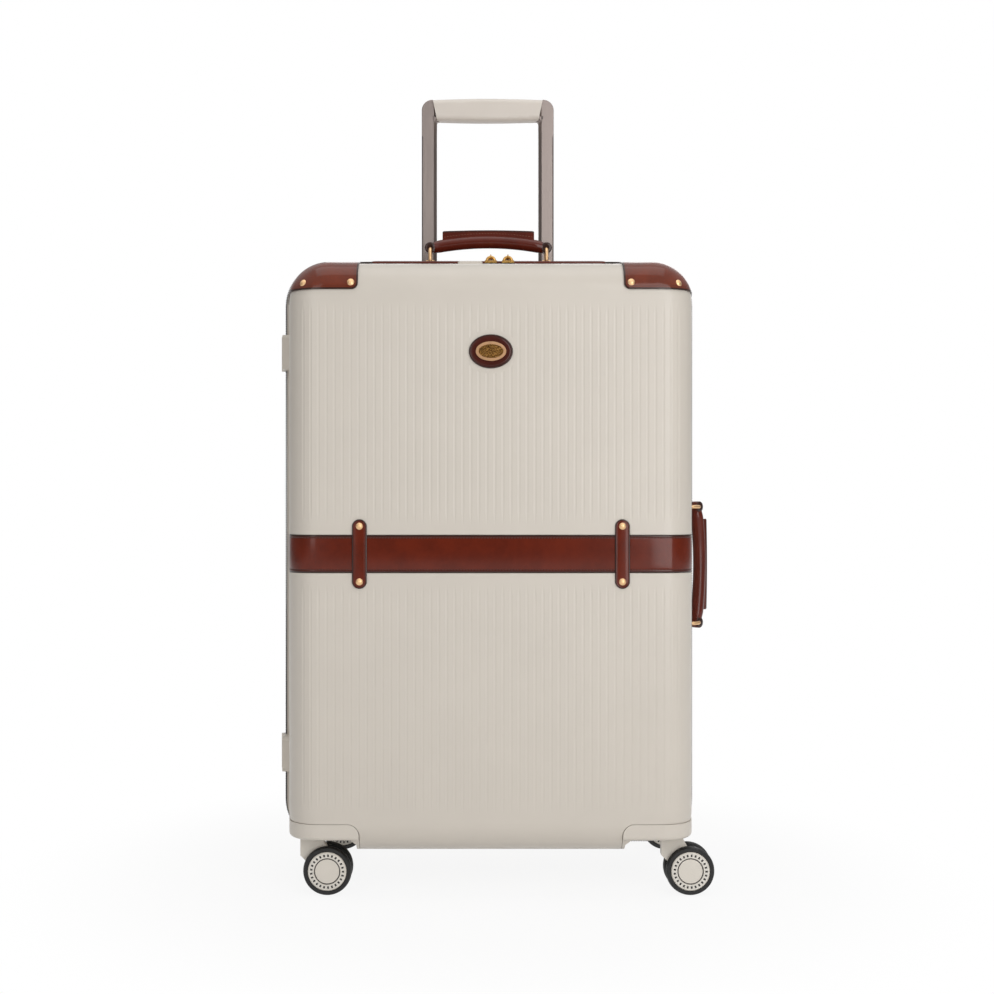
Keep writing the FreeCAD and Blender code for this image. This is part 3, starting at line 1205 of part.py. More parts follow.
def caster_fork():
    """A single arm between the wheels with a round crown and a stem, in the caster's own frame."""
    owner = body("fork_arm")
    drawing = sketch(owner, "XZ_Plane")
    axle = s.wheel_radius
    boss = s.axle_boss
    crown_low = CROWN_TOP - s.crown_thickness
    arm_top = crown_low + OVER
    outline(drawing, [(-s.fork_nose, arm_top), (-s.fork_nose, axle + boss * 2), (s.trail - boss, axle - boss),
                      (s.trail + boss, axle - boss), (s.trail + boss, axle + boss), (s.fork_tail, arm_top)])
    raised = pad(owner, drawing, s.fork_width, symmetric=True)
    low = (axle + boss).value + OVER
    round_edges(owner, raised, s.fork_bend,
                lambda edge: runs_along(edge, "y") and edge.CenterOfMass.z < low, "boss")
    crown = rod("fork_crown", s.crown_radius, s.crown_thickness, 0, 0, crown_low)
    stem = rod("fork_stem", s.stem_radius, s.stem_length + s.crown_gap, 0, 0, CROWN_TOP)
    bore = rod("fork_bore", s.axle_radius + s.axle_play, s.fork_width + OVER * 2, s.trail,
               s.fork_width / -2 - OVER, axle, ALONG_Y)
    return cut("fork", fuse("fork_blank", owner, crown, stem), bore)


WHEEL_NEAR = s.fork_width / 2 + s.fork_gap
WHEEL_FAR = WHEEL_NEAR + s.wheel_width


def turned_pair(name, points, arcs=None):
    """A turned piece on each side of the fork."""
    owner = body(name)
    drawing = sketch(owner, "YZ_Plane")
    outline(drawing, points, arcs)
    revolve(owner, drawing)
    place(owner, s.trail, 0, s.wheel_radius)
    return group(f"{name}_pair", owner, mirrored(f"{name}_image", owner, Vector(0, 1, 0)))


step = s.core_step
AXLE_END = WHEEL_FAR - step - s.core_cap
wheel_cores = turned_pair("wheel_core", [
    (WHEEL_NEAR, s.axle_radius), (AXLE_END, s.axle_radius), (AXLE_END, 0), (WHEEL_FAR - step, 0),
    (WHEEL_FAR - step, s.core_ring - step),
    (WHEEL_FAR - step * 2, s.core_ring), (WHEEL_FAR, s.core_ring + step), (WHEEL_FAR, s.core_radius - step),
    (WHEEL_FAR - step, s.core_radius), (WHEEL_NEAR, s.core_radius)])
tyre_edge = s.wheel_radius - s.tyre_crown
tyre_bow = (s.wheel_width * s.wheel_width / 4 + s.tyre_crown * s.tyre_crown) / (s.tyre_crown * 2)
tyres = turned_pair("tyre", [
    (WHEEL_NEAR, s.core_radius), (WHEEL_FAR - step, s.core_radius), (WHEEL_FAR, s.core_radius + step),
    (WHEEL_FAR, tyre_edge), (WHEEL_NEAR, tyre_edge)], {3: tyre_bow})
axle = rod("axle", s.axle_radius, AXLE_END * 2, s.trail, -AXLE_END, s.wheel_radius, ALONG_Y)
fork = caster_fork()

for half, side in HALVES.items():
    for hand, way in (("left", -1), ("right", 1)):
        for piece, source in (("fork", fork), ("axle", axle), ("wheel_cores", wheel_cores), ("tyres", tyres)):
            name = f"{half}_{hand}_{piece}"
            node(name, copy_at(name, source, SWIVEL_X * way, SWIVEL_Y * side, 0))

doc.recompute()
failed = [thing.Name for thing in doc.Objects if "Invalid" in thing.State or "Error" in thing.State]
failed += [name for name, thing in NODES.items()
           if thing.Shape.isNull() or not thing.Shape.isValid() or not thing.Shape.Solids]
if failed:
    raise RuntimeError(f"these have no valid shape: {failed}")

os.makedirs("parts", exist_ok=True)
for name, thing in NODES.items():
    thing.Shape.exportStep(f"parts/{name}.step")
    box_now = thing.Shape.BoundBox
    print(f"{name}: {len(thing.Shape.Solids)} solids, {thing.Shape.Volume / 1000:.1f} cm3, "
          f"{box_now.XMin:.1f}..{box_now.XMax:.1f} {box_now.YMin:.1f}..{box_now.YMax:.1f} "
          f"{box_now.ZMin:.1f}..{box_now.ZMax:.1f}")
print(f"{len(NODES)} nodes")
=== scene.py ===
"""Looks of the spinner suitcase: finishes, leatherwork, zip, lining, wheels and the studio round them.

Sizes are written in millimetres and become metres when a mesh is made. The frame is the CAD frame: +Z is up,
+X is the carry side and -Y is the front.
"""

import logging
import math
from contextlib import contextmanager
from dataclasses import dataclass
from enum import Enum
from typing import Callable, Iterator, Optional, Sequence

import bmesh
import bpy
import numpy as np
from mathutils import Matrix, Vector, noise


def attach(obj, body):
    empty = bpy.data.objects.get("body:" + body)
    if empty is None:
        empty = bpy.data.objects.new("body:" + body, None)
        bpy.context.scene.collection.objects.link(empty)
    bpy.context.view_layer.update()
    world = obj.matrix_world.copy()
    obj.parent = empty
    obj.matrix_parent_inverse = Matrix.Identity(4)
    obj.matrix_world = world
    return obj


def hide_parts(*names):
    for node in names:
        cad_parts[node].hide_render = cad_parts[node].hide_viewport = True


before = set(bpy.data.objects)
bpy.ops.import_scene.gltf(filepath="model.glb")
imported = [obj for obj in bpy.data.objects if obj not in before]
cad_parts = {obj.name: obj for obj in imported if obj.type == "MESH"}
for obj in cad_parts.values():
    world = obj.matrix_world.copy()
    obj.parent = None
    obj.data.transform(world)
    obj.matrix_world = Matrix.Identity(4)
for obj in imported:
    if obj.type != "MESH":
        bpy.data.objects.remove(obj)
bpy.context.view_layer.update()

MM = 0.001
log = logging.getLogger("spinner_suitcase")

Colour = tuple[float, float, float, float]
Point = tuple[float, float, float]
Flat = tuple[float, float]
Line = list[tuple[Flat, Flat]]
Look = dict[str, object]
Socket = bpy.types.NodeSocket
Piece = bpy.types.Object
Mesh = bpy.types.Mesh

# Points this close are merged, in metres: in new meshes, and in copies of CAD meshes.
DOUBLED = 1e-6
CAD_DOUBLED = 2e-6
# Angles in degrees: shading breaks over SHARP, edges over ROUNDED are rounded, faces within LEVEL are one.
SHARP = 38.0
ROUNDED = 50.0
LEVEL = 1.0


class Body(str, Enum):
    """The moving bodies that new pieces ride on."""

    REAR = "rear_half"
    FRONT = "front_half"
    TROLLEY = "trolley_handle"
    TOP_HANDLE = "top_handle"
    SIDE_HANDLE = "side_handle"


class Slot(str, Enum):
    """The record's finish slot names that new pieces are passed with."""

    SHELL = "ivory_shell"
    TRIM = "ivory_trim"
    LEATHER = "brown_leather"
    LINING = "lining_cloth"
    ZIP = "zip_cloth"
    BRASS = "brass"
    ALLOY = "tube_alloy"
    DARK = "dark_plastic"


HALVES = (("front", -1, Body.FRONT), ("rear", 1, Body.REAR))
HANDS = (("left", -1), ("right", 1))
WAYS = (-1, 1)


def tone(red: float, green: float, blue: float) -> Colour:
    """Turns a display colour into the linear colour that shaders take.

    Args:
        red: Red from 0 to 255.
        green: Green from 0 to 255.
        blue: Blue from 0 to 255.

    Returns:
        The linear colour with full opacity.
    """
    def linear(value: float) -> float:
        """One channel, from display to linear light, by the sRGB curve."""
        value /= 255
        return value / 12.92 if value <= 0.04045 else ((value + 0.055) / 1.055) ** 2.4

    return linear(red), linear(green), linear(blue), 1.0


class Wiring:
    """Adds nodes to a node tree and joins their sockets."""

    def __init__(self, tree: bpy.types.NodeTree) -> None:
        """Keeps the tree that the nodes go into."""
        self.tree = tree

    def add(self, kind: str, inputs: Optional[dict] = None, **settings: object) -> bpy.types.Node:
        """Adds a node.

        Args:
            kind: The node's type name.
            inputs: Values or sockets for its inputs, by name or number.
            settings: Properties of the node.

        Returns:
            The new node.
        """
        node = self.tree.nodes.new(kind)
        for name, value in settings.items():
            setattr(node, name, value)
        for key, value in (inputs or {}).items():
            self.feed(node.inputs[key], value)
        return node

    def feed(self, socket: Socket, value: object) -> None:
        """Links a socket to another, or sets its value.

        Args:
            socket: The input.
            value: A value or another socket.
        """
        if isinstance(value, Socket):
            self.tree.links.new(value, socket)
        else:
            socket.default_value = value

    def math(self, operation: str, *values: object) -> Socket:
        """The result of a Math node over values or sockets."""
        return self.add("ShaderNodeMath", dict(enumerate(values)), operation=operation).outputs[0]

    def ramp(self, value: object, low: float, high: float, start: float = 0.0, stop: float = 1.0) -> Socket:
        """Maps a value smoothly from one range to another.

        Args:
            value: The value or socket.
            low: Where the first range starts.
            high: Where the first range ends.
            start: The result at low.
            stop: The result at high.

        Returns:
            The socket with the result.
        """
        spread = {"Value": value, "From Min": low, "From Max": high, "To Min": start, "To Max": stop}
        return self.add("ShaderNodeMapRange", spread, interpolation_type="SMOOTHSTEP").outputs[0]

    def mix(self, factor: object, first: object, second: object) -> Socket:
        """Mixes two colours by a factor, through the node's own sockets for colours.

        Args:
            factor: The second colour's share.
            first: The first colour.
            second: The second colour.

        Returns:
            The socket with the mixed colour.
        """
        node = self.add("ShaderNodeMix", data_type="RGBA")
        for number, value in ((0, factor), (6, first), (7, second)):
            self.feed(node.inputs[number], value)
        return node.outputs[2]

    def noise(self, place: object, size: float, detail: float = 3.0, rough: float = 0.55) -> Socket:
        """Noise whose features are about a size in millimetres."""
        inputs = {"Vector": place, "Scale": 1 / (size * MM), "Detail": detail, "Roughness": rough}
        return self.add("ShaderNodeTexNoise", inputs).outputs["Fac"]

    def bump(self, height: object, depth: float, below: object = None) -> Socket:
        """A bump of a depth in millimetres, over another normal where one is given.

        Args:
            height: How high a point is, from 0 to 1.
            depth: The height of 1, in millimetres.
            below: The other normal.

        Returns:
            The socket with the normal.
        """
        inputs = {"Height": height, "Distance": depth * MM, "Strength": 1.0}
        if below is not None:
            inputs["Normal"] = below
        return self.add("ShaderNodeBump", inputs).outputs[0]


@dataclass(frozen=True)
class PlateEdge:
    """Where a leather plate's edge runs: a rounded rectangle over two axes, in millimetres."""

    axes: tuple[str, str]
    centre: Flat
    half: Flat
    radius: float
    both_sides: bool = False

    def distance(self, wiring: Wiring, place: Socket) -> Socket:
        """How far a point lies inside the edge, in metres, up to the corner radius.

        Args:
            wiring: The material's wiring.
            place: Object coordinates.

        Returns:
            The socket with the distance.
        """
        split = wiring.add("ShaderNodeSeparateXYZ", {0: place})
        parts = []
        for number, axis in enumerate(self.axes):
            value = split.outputs[axis]
            if self.both_sides and axis == "X":
                value = wiring.math("ABSOLUTE", value)
            offset = wiring.math("ABSOLUTE", wiring.math("SUBTRACT", value, self.centre[number] * MM))
            inner = (self.half[number] - self.radius) * MM
            parts.append(wiring.math("MAXIMUM", wiring.math("SUBTRACT", offset, inner), 0.0))
        squares = [wiring.math("MULTIPLY", part, part) for part in parts]
        length = wiring.math("SQRT", wiring.math("ADD", *squares))
        return wiring.math("SUBTRACT", self.radius * MM, length)


@dataclass(frozen=True)
class Finish:
    """A surface finish that makes its own procedural material."""

    name: str
    colour: Colour
    roughness: float = 0.36

    def material(self) -> bpy.types.Material:
        """The finish's material, made once.

        Returns:
            The material.
        """
        found = bpy.data.materials.get(self.name)
        if found:
            return found
        material = bpy.data.materials.new(self.name)
        material.use_nodes = True
        material.diffuse_color = self.colour
        wiring = Wiring(material.node_tree)
        shader = material.node_tree.nodes["Principled BSDF"]
        place = wiring.add("ShaderNodeTexCoord").outputs["Object"]
        for name, value in self.look(wiring, place).items():
            wiring.feed(shader.inputs[name], value)
        return material

    def shade(self, factor: float) -> Colour:
        """The finish's colour, made darker or lighter by a factor."""
        red, green, blue, opacity = self.colour
        return red * factor, green * factor, blue * factor, opacity

    def gloss(self, wiring: Wiring, value: Socket, reach: Flat, spread: Flat) -> Socket:
        """Varies the roughness over a texture.

        Args:
            wiring: The material's wiring.
            value: The texture.
            reach: Where the texture's range starts and ends.
            spread: How much smoother and how much rougher the surface gets.

        Returns:
            The socket with the roughness.
        """
        return wiring.ramp(value, *reach, self.roughness - spread[0], self.roughness + spread[1])

    def look(self, wiring: Wiring, place: Socket) -> Look:
        """Makes the finish's textures.

        Args:
            wiring: The material's wiring.
            place: Object coordinates.

        Returns:
            Values or sockets for the shader's inputs, by name.
        """
        raise NotImplementedError


@dataclass(frozen=True)
class MouldedPlastic(Finish):
    """Moulded plastic with a fine spark-eroded grain and faint cloudiness."""

    roughness: float = 0.42
    cloud: float = 0.03
    cloud_size: float = 60.0
    rub_size: float = 9.0
    grain: float = 0.45
    grain_depth: float = 0.012
    coat: float = 0.1
    coat_roughness: float = 0.18

    def look(self, wiring: Wiring, place: Socket) -> Look:
        """Clouds the colour, varies the gloss and raises the grain."""
        clouds = wiring.noise(place, self.cloud_size)
        rub = wiring.noise(place, self.rub_size, 5.0)
        grain = wiring.noise(place, self.grain, 2.0)
        return {"Base Color": wiring.mix(clouds, self.shade(1 - self.cloud), self.shade(1 + self.cloud)),
                "Roughness": self.gloss(wiring, rub, (0.3, 0.75), (0.05, 0.07)),
                "Coat Weight": self.coat,
                "Coat Roughness": self.coat_roughness,
                "Normal": wiring.bump(grain, self.grain_depth)}


@dataclass(frozen=True)
class Leather(Finish):
    """Glazed cowhide: a fine grain, mottled dye, and edges darkened by burnishing with a creased line inside;
    the same dark colour paints shade where a piece's marks ask for it, such as in the holes of the grip's
    loops.
    """

    # Dark colour of edges from burnishing, also used as painted shade in the holes of the grip's loops.
    burnished: Colour = tone(50, 32, 27)
    mottle: float = 0.14
    dye_size: float = 24.0
    streak_size: float = 5.0
    grain: float = 1.3
    grain_depth: float = 0.04
    warp: float = 0.9
    warp_size: float = 4.0
    edge: Optional[PlateEdge] = None
    edge_width: float = 2.6
    crease_inside: float = 1.4
    crease_half: float = 0.45
    crease_depth: float = 0.25
    skin_specular: float = 0.04
    glaze: float = 0.55
    glaze_roughness: float = 0.12

    def cells(self, wiring: Wiring, place: Socket) -> Socket:
        """How far a point is from the edges of the grain's cells, which are bent out of shape a little.

        Args:
            wiring: The material's wiring.
            place: Object coordinates.

        Returns:
            The socket with the distance.
        """
        cloud = {"Vector": place, "Scale": 1 / (self.warp_size * MM), "Detail": 2.0}
        bend = wiring.add("ShaderNodeTexNoise", cloud).outputs["Color"]
        shift = wiring.add("ShaderNodeVectorMath", {0: bend, 3: self.warp * MM}, operation="SCALE")
        bent = wiring.add("ShaderNodeVectorMath", {0: place, 1: shift.outputs[0]}, operation="ADD")
        net = {"Vector": bent.outputs[0], "Scale": 1 / (self.grain * MM)}
        return wiring.add("ShaderNodeTexVoronoi", net, feature="DISTANCE_TO_EDGE").outputs["Distance"]

    def wear(self, wiring: Wiring, place: Socket) -> tuple[Socket, Socket]:
        """How dark the leather is from burnishing and from painted shade, and how creased, from the piece's
        marks and from the plate's edge.

        Args:
            wiring: The material's wiring.
            place: Object coordinates.

        Returns:
            The sockets with both, from 0 to 1.
        """
        burnish_and_shade_share, crease = [wiring.add("ShaderNodeAttribute", attribute_name=name).outputs["Fac"]
                        for name in ("burnish", "crease")]
        if self.edge:
            inside = self.edge.distance(wiring, place)
            rim = wiring.ramp(inside, self.edge_width * 0.55 * MM, self.edge_width * MM, 1.0, 0.0)
            burnish_and_shade_share = wiring.math("MAXIMUM", burnish_and_shade_share, rim)
            middle = (self.edge_width + self.crease_inside) * MM
            off = wiring.math("ABSOLUTE", wiring.math("SUBTRACT", inside, middle))
            line = wiring.ramp(off, 0.0, self.crease_half * MM, 1.0, 0.0)
            crease = wiring.math("MAXIMUM", crease, line)
        return burnish_and_shade_share, crease

    def look(self, wiring: Wiring, place: Socket) -> Look:
        """Mottles the dye, darkens the edges, paints shade where the marks ask for it, and raises the grain
        and the crease.
        """
        cells = self.cells(wiring, place)
        pores = wiring.ramp(cells, 0.0, 0.16)
        dye = wiring.noise(place, self.dye_size, 5.0, 0.62)
        streak = wiring.noise(place, self.streak_size)
        burnish_and_shade_share, crease = self.wear(wiring, place)
        mottled = wiring.ramp(dye, 0.3, 0.7)
        colour = wiring.mix(mottled, self.shade(1 - self.mottle), self.shade(1 + self.mottle))
        colour = wiring.mix(wiring.ramp(streak, 0.45, 0.75, 0.0, 0.3), colour, self.shade(1.2))
        colour = wiring.mix(wiring.ramp(cells, 0.0, 0.1, 0.3, 0.0), colour, self.shade(0.6))
        colour = wiring.mix(wiring.math("MULTIPLY", crease, 0.55), colour, self.shade(0.42))
        # Darkens edges from burnishing, and paints shade where a piece marks it, such as the holes of the
        # grip's loops.
        colour = wiring.mix(wiring.math("MULTIPLY", burnish_and_shade_share, 0.92), colour, self.burnished)
        dents = wiring.bump(crease, -self.crease_depth)
        return {"Base Color": colour,
                "Roughness": self.gloss(wiring, dye, (0.3, 0.75), (0.06, 0.1)),
                "Specular IOR Level": self.skin_specular,
                "Coat Weight": self.glaze,
                "Coat Roughness": self.glaze_roughness,
                "Normal": wiring.bump(pores, self.grain_depth, dents)}


@dataclass(frozen=True)
class PolishedMetal(Finish):
    """Plated or polished metal with fine rubbing marks."""

    roughness: float = 0.2
    rub: float = 0.08
    rub_size: float = 0.7
    rub_depth: float = 0.004
    tarnish: float = 0.12
    tarnish_size: float = 6.0

    def look(self, wiring: Wiring, place: Socket) -> Look:
        """Varies the gloss and darkens the colour in patches."""
        patch = wiring.ramp(wiring.noise(place, self.tarnish_size, 4.0), 0.35, 0.8)
        fine = wiring.noise(place, self.rub_size)
        return {"Base Color": wiring.mix(patch, self.colour, self.shade(1 - self.tarnish)),
                "Metallic": 1.0,
                "Roughness": self.gloss(wiring, fine, (0.3, 0.7), (self.rub * 0.5, self.rub)),
                "Normal": wiring.bump(fine, self.rub_depth)}


@dataclass(frozen=True)
class BrushedAlloy(Finish):
    """Anodised aluminium tube with a drawn grain along its length."""

    roughness: float = 0.34
    grain: float = 0.35
    grain_depth: float = 0.008
    stretch: Point = (1.0, 1.0, 0.012)
    anisotropy: float = 0.35

    def look(self, wiring: Wiring, place: Socket) -> Look:
        """Draws long streaks up the tube."""
        drawn = wiring.add("ShaderNodeMapping", {"Vector": place, "Scale": self.stretch}).outputs[0]
        lines = wiring.noise(drawn, self.grain, 4.0, 0.7)
        return {"Base Color": wiring.mix(lines, self.shade(0.86), self.shade(1.12)),
                "Metallic": 1.0,
                "Roughness": self.gloss(wiring, lines, (0.3, 0.7), (0.06, 0.1)),
                "Anisotropic": self.anisotropy,
                "Normal": wiring.bump(lines, self.grain_depth)}


@dataclass(frozen=True)
class WovenCloth(Finish):
    """Woven cloth whose threads follow the piece's own map."""

    roughness: float = 0.85
    second: Colour = tone(60, 50, 45)
    thread: float = 0.9
    depth: float = 0.12
    fade_size: float = 30.0
    sheen: float = 0.25
    sheen_roughness: float = 0.4

    def look(self, wiring: Wiring, place: Socket) -> Look:
        """Crosses two sets of threads, one over the other in turn."""
        uv = wiring.add("ShaderNodeUVMap", uv_map="weave").outputs[0]
        split = wiring.add("ShaderNodeSeparateXYZ", {0: uv})
        waves = []
        for axis in ("X", "Y"):
            turn = wiring.math("MULTIPLY", split.outputs[axis], math.pi / (self.thread * MM))
            waves.append(wiring.math("SINE", turn))
        weave = wiring.ramp(wiring.math("MULTIPLY", *waves), -1.0, 1.0)
        height = wiring.math("MULTIPLY", *[wiring.math("ABSOLUTE", wave) for wave in waves])
        fade = wiring.noise(place, self.fade_size, 4.0)
        colour = wiring.mix(weave, self.colour, self.second)
        return {"Base Color": wiring.mix(wiring.ramp(fade, 0.3, 0.7, 0.0, 0.3), colour, self.shade(1.25)),
                "Roughness": self.gloss(wiring, fade, (0.2, 0.8), (0.08, 0.06)),
                "Sheen Weight": self.sheen,
                "Sheen Roughness": self.sheen_roughness,
                "Normal": wiring.bump(height, self.depth)}


@dataclass(frozen=True)
class TyreRubber(Finish):
    """Dull rubber with a dusty bloom."""

    roughness: float = 0.5
    dust_size: float = 8.0
    skin_size: float = 0.6
    skin_depth: float = 0.03

    def look(self, wiring: Wiring, place: Socket) -> Look:
        """Dusts the colour and roughens the skin."""
        dust = wiring.noise(place, self.dust_size, 5.0)
        skin = wiring.noise(place, self.skin_size)
        bloom = wiring.ramp(dust, 0.45, 0.8, 0.0, 0.5)
        return {"Base Color": wiring.mix(bloom, self.colour, self.shade(2.2)),
                "Roughness": self.gloss(wiring, dust, (0.3, 0.7), (0.0, 0.18)),
                "Normal": wiring.bump(skin, self.skin_depth)}


@dataclass(frozen=True)
class SewingThread(Finish):
    """Waxed thread with a twist."""

    roughness: float = 0.45
    twist_size: float = 0.5
    twist_depth: float = 0.03

    def look(self, wiring: Wiring, place: Socket) -> Look:
        """Twists two shades round each other."""
        twist = wiring.noise(place, self.twist_size, 2.0)
        return {"Base Color": wiring.mix(twist, self.shade(0.7), self.shade(1.25)),
                "Roughness": self.gloss(wiring, twist, (0.3, 0.7), (0.0, 0.15)),
                "Normal": wiring.bump(twist, self.twist_depth)}


LEATHER_BROWN = tone(98, 30, 9)
GUARD_EDGE = PlateEdge(("X", "Z"), (251.0, 794.3), (100.0, 100.0), 7.0, True)
BASE_EDGE = PlateEdge(("X", "Y"), (0.0, 47.5), (151.2, 33.2), 11.2)

SHELL = MouldedPlastic("ribbed_shell_plastic", tone(208, 200, 189), roughness=0.4)
TRIM = MouldedPlastic("trim_plastic", tone(210, 202, 191))
HINGE_PLASTIC = MouldedPlastic("hinge_plastic", tone(222, 214, 203))
WHEEL_PLASTIC = MouldedPlastic("wheel_plastic", tone(222, 215, 204))
WHEEL_BAND = MouldedPlastic("wheel_band_print", tone(224, 219, 210), roughness=0.45, coat=0.0)
GRIP_PLASTIC = MouldedPlastic("grip_plastic", tone(218, 209, 199), roughness=0.38, coat=0.2)
DARK_PLASTIC = MouldedPlastic("dark_plastic_moulding", tone(44, 42, 42), roughness=0.45, cloud=0.12, coat=0.0)
DIAL_PLASTIC = MouldedPlastic("dial_plastic", tone(52, 44, 40), roughness=0.4, cloud=0.1)
DIAL_INK = MouldedPlastic("dial_ink", tone(226, 220, 208), roughness=0.5, coat=0.0)
WHEEL_LINE = MouldedPlastic("wheel_line_paint", tone(46, 42, 40), roughness=0.5, cloud=0.1, coat=0.0)
ZIP_NYLON = MouldedPlastic("zip_coil_nylon", tone(48, 39, 35), roughness=0.35, cloud=0.1, coat=0.0)
STRAP_LEATHER = Leather("strap_leather", LEATHER_BROWN)
GUARD_LEATHER = Leather("guard_leather", tone(108, 42, 19), edge=GUARD_EDGE)
BADGE_LEATHER = Leather("badge_leather_dark", tone(72, 27, 18))
BASE_LEATHER = Leather("base_leather", LEATHER_BROWN, edge=BASE_EDGE)
GRIP_LEATHER = Leather("handle_leather", tone(94, 34, 21), grain=1.1)
BRASS = PolishedMetal("polished_brass", tone(222, 188, 134))
SATIN_BRASS = PolishedMetal("satin_brass", tone(230, 190, 144), roughness=0.42, tarnish=0.1)
SLIDER_BRASS = PolishedMetal("slider_brass", tone(206, 160, 92), roughness=0.24, tarnish=0.3)
BADGE_BRASS = PolishedMetal("badge_brass", tone(176, 138, 104), roughness=0.42, tarnish=0.15)
PEBBLE_BRASS = PolishedMetal("pebble_brass", tone(206, 156, 84), roughness=0.3, tarnish=0.5)
AGED_BRASS = PolishedMetal("aged_brass", tone(78, 54, 30), roughness=0.45, tarnish=0.4)
STEEL = PolishedMetal("steel_rod", tone(150, 150, 150), roughness=0.3)
ALLOY = BrushedAlloy("champagne_alloy", tone(147, 136, 131))
RUBBER = TyreRubber("tyre_rubber_black", tone(12, 11, 11))
LINING = WovenCloth("lining_weave", tone(112, 92, 76), second=tone(86, 68, 56), thread=1.1)
WEBBING = WovenCloth("packing_webbing", tone(72, 40, 30), second=tone(50, 27, 21), thread=1.6, depth=0.2)
ZIP_CLOTH = WovenCloth("zip_tape_weave", tone(54, 40, 34), second=tone(36, 27, 24), thread=0.8)
THREAD = SewingThread("leather_thread", tone(122, 70, 46))
DARK_THREAD = SewingThread("strap_thread", tone(58, 24, 17))


def carry(piece: Piece, body: str, slot: Slot, *nodes: str) -> Piece:
    """Lets a piece ride on a body and hides the CAD nodes that it stands for.

    Args:
        piece: The finished piece, at the origin.
        body: The body's name.
        slot: The record's finish slot; not used.
        nodes: CAD nodes that the piece replaces.

    Returns:
        The same piece.
    """
    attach(piece, str(body.value if isinstance(body, Enum) else body))
    if nodes:
        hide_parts(*nodes)
    log.info("%s: %d faces", piece.name, len(piece.data.polygons))
    return piece


def dress(finish: Finish, *nodes: str) -> None:
    """Gives CAD nodes a finish.

    Args:
        finish: The finish.
        nodes: The nodes' names.
    """
    for name in nodes:
        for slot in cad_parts[name].material_slots:
            slot.material = finish.material()
        log.info("%s: %s", name, finish.name)


def add_object(name: str, data: bpy.types.ID) -> Piece:
    """Puts a mesh or a text in the scene at the origin.

    Args:
        name: The object's name.
        data: Its mesh or text.

    Returns:
        The new object.
    """
    piece = bpy.data.objects.new(name, data)
    bpy.context.scene.collection.objects.link(piece)
    return piece


class Surface:
    """Collects points, faces, map places and point attributes, and makes one mesh of them."""

    def __init__(self) -> None:
        """Starts with nothing."""
        self.points: list[Point] = []
        self.faces: list[tuple[int, ...]] = []
        self.maps: list[tuple[Flat, ...]] = []
        self.marks: dict[str, dict[int, float]] = {}

    def strip(self, rows: Sequence[Sequence[Point]], closed: bool, across: Optional[Sequence[float]] = None,
              marks: Optional[dict[str, Sequence[float]]] = None, loop: bool = False) -> None:
        """Skins rows of points that follow each other along a path.

        Args:
            rows: Rows of equal length, in millimetres.
            closed: Whether each row joins up with itself.
            across: The map place of each point across a row.
            marks: Point attributes over a row, by name.
            loop: Whether the last row joins the first.
        """
        start = len(self.points)
        width = len(rows[0])
        for row in rows:
            for name, values in (marks or {}).items():
                self.marks.setdefault(name, {}).update(
                    {len(self.points) + number: value for number, value in enumerate(values)})
            self.points.extend(tuple(point) for point in row)
        along = [0.0]
        for before, after in zip(rows, [*rows[1:], rows[0]]):
            along.append(along[-1] + math.dist(before[0], after[0]))
        across = list(across) if across else [float(number) for number in range(width)]
        across.append(across[-1] + (across[-1] - across[-2]))
        for number in range(len(rows) if loop else len(rows) - 1):
            here = start + number * width
            there = start + (number + 1) % len(rows) * width
            for step in range(width if closed else width - 1):
                follow = (step + 1) % width
                self.faces.append((here + step, there + step, there + follow, here + follow))
                low, high = across[step], across[step + 1]
                self.maps.append(((along[number], low), (along[number + 1], low),
                                  (along[number + 1], high), (along[number], high)))

    def cap(self, row: Sequence[int], flip: bool = False) -> None:
        """Closes a ring of points with one face.

        Args:
            row: The numbers of the ring's points.
            flip: Whether the face is turned round.
        """
        ring = tuple(reversed(row)) if flip else tuple(row)
        self.faces.append(ring)
        self.maps.append(tuple((self.points[index][0], self.points[index][2]) for index in ring))

    def solid(self, rows: Sequence[Sequence[Point]], across: Optional[Sequence[float]] = None,
              marks: Optional[dict[str, Sequence[float]]] = None, flip: bool = False) -> None:
        """Skins rows that join up with themselves, and closes both ends.

        Args:
            rows: Rows of equal length, in millimetres.
            across: The map place of each point across a row.
            marks: Point attributes over a row, by name.
            flip: Whether the first end is turned round, and not the last.
        """
        first, width = len(self.points), len(rows[0])
        self.strip(rows, True, across, marks)
        self.cap(range(first, first + width), flip)
        self.cap(range(len(self.points) - width, len(self.points)), not flip)

    def piece(self, name: str, finish: Finish, matrix: Optional[Matrix] = None,
              smooth: float = 40.0) -> Piece:
        """Makes the piece.

        Args:
            name: The piece's name.
            finish: Its finish.
            matrix: Where it goes, in millimetres.
            smooth: Edges sharper than this many degrees stay hard.

        Returns:
            The new object.
        """
        matrix = matrix or Matrix.Identity(4)
        mesh = bpy.data.meshes.new(name)
        mesh.from_pydata([matrix @ Vector(point) * MM for point in self.points], [], self.faces)
        layer = mesh.uv_layers.new(name="weave")
        flat = [value * MM for corners in self.maps for corner in corners for value in corner]
        layer.data.foreach_set("uv", flat)
        for label, values in self.marks.items():
            held = mesh.attributes.new(label, "FLOAT", "POINT")
            for index, value in values.items():
                held.data[index].value = value
        mesh.materials.append(finish.material())
        outward(mesh)
        mesh.shade_smooth()
        mesh.set_sharp_from_angle(angle=math.radians(smooth))
        return add_object(name, mesh)


@contextmanager
def edited(mesh: Mesh) -> Iterator[bmesh.types.BMesh]:
    """Opens a mesh for editing, and writes it back.

    Args:
        mesh: The mesh.

    Returns:
        A context that gives the mesh as it is edited.
    """
    work = bmesh.new()
    work.from_mesh(mesh)
    yield work
    work.to_mesh(mesh)
    work.free()


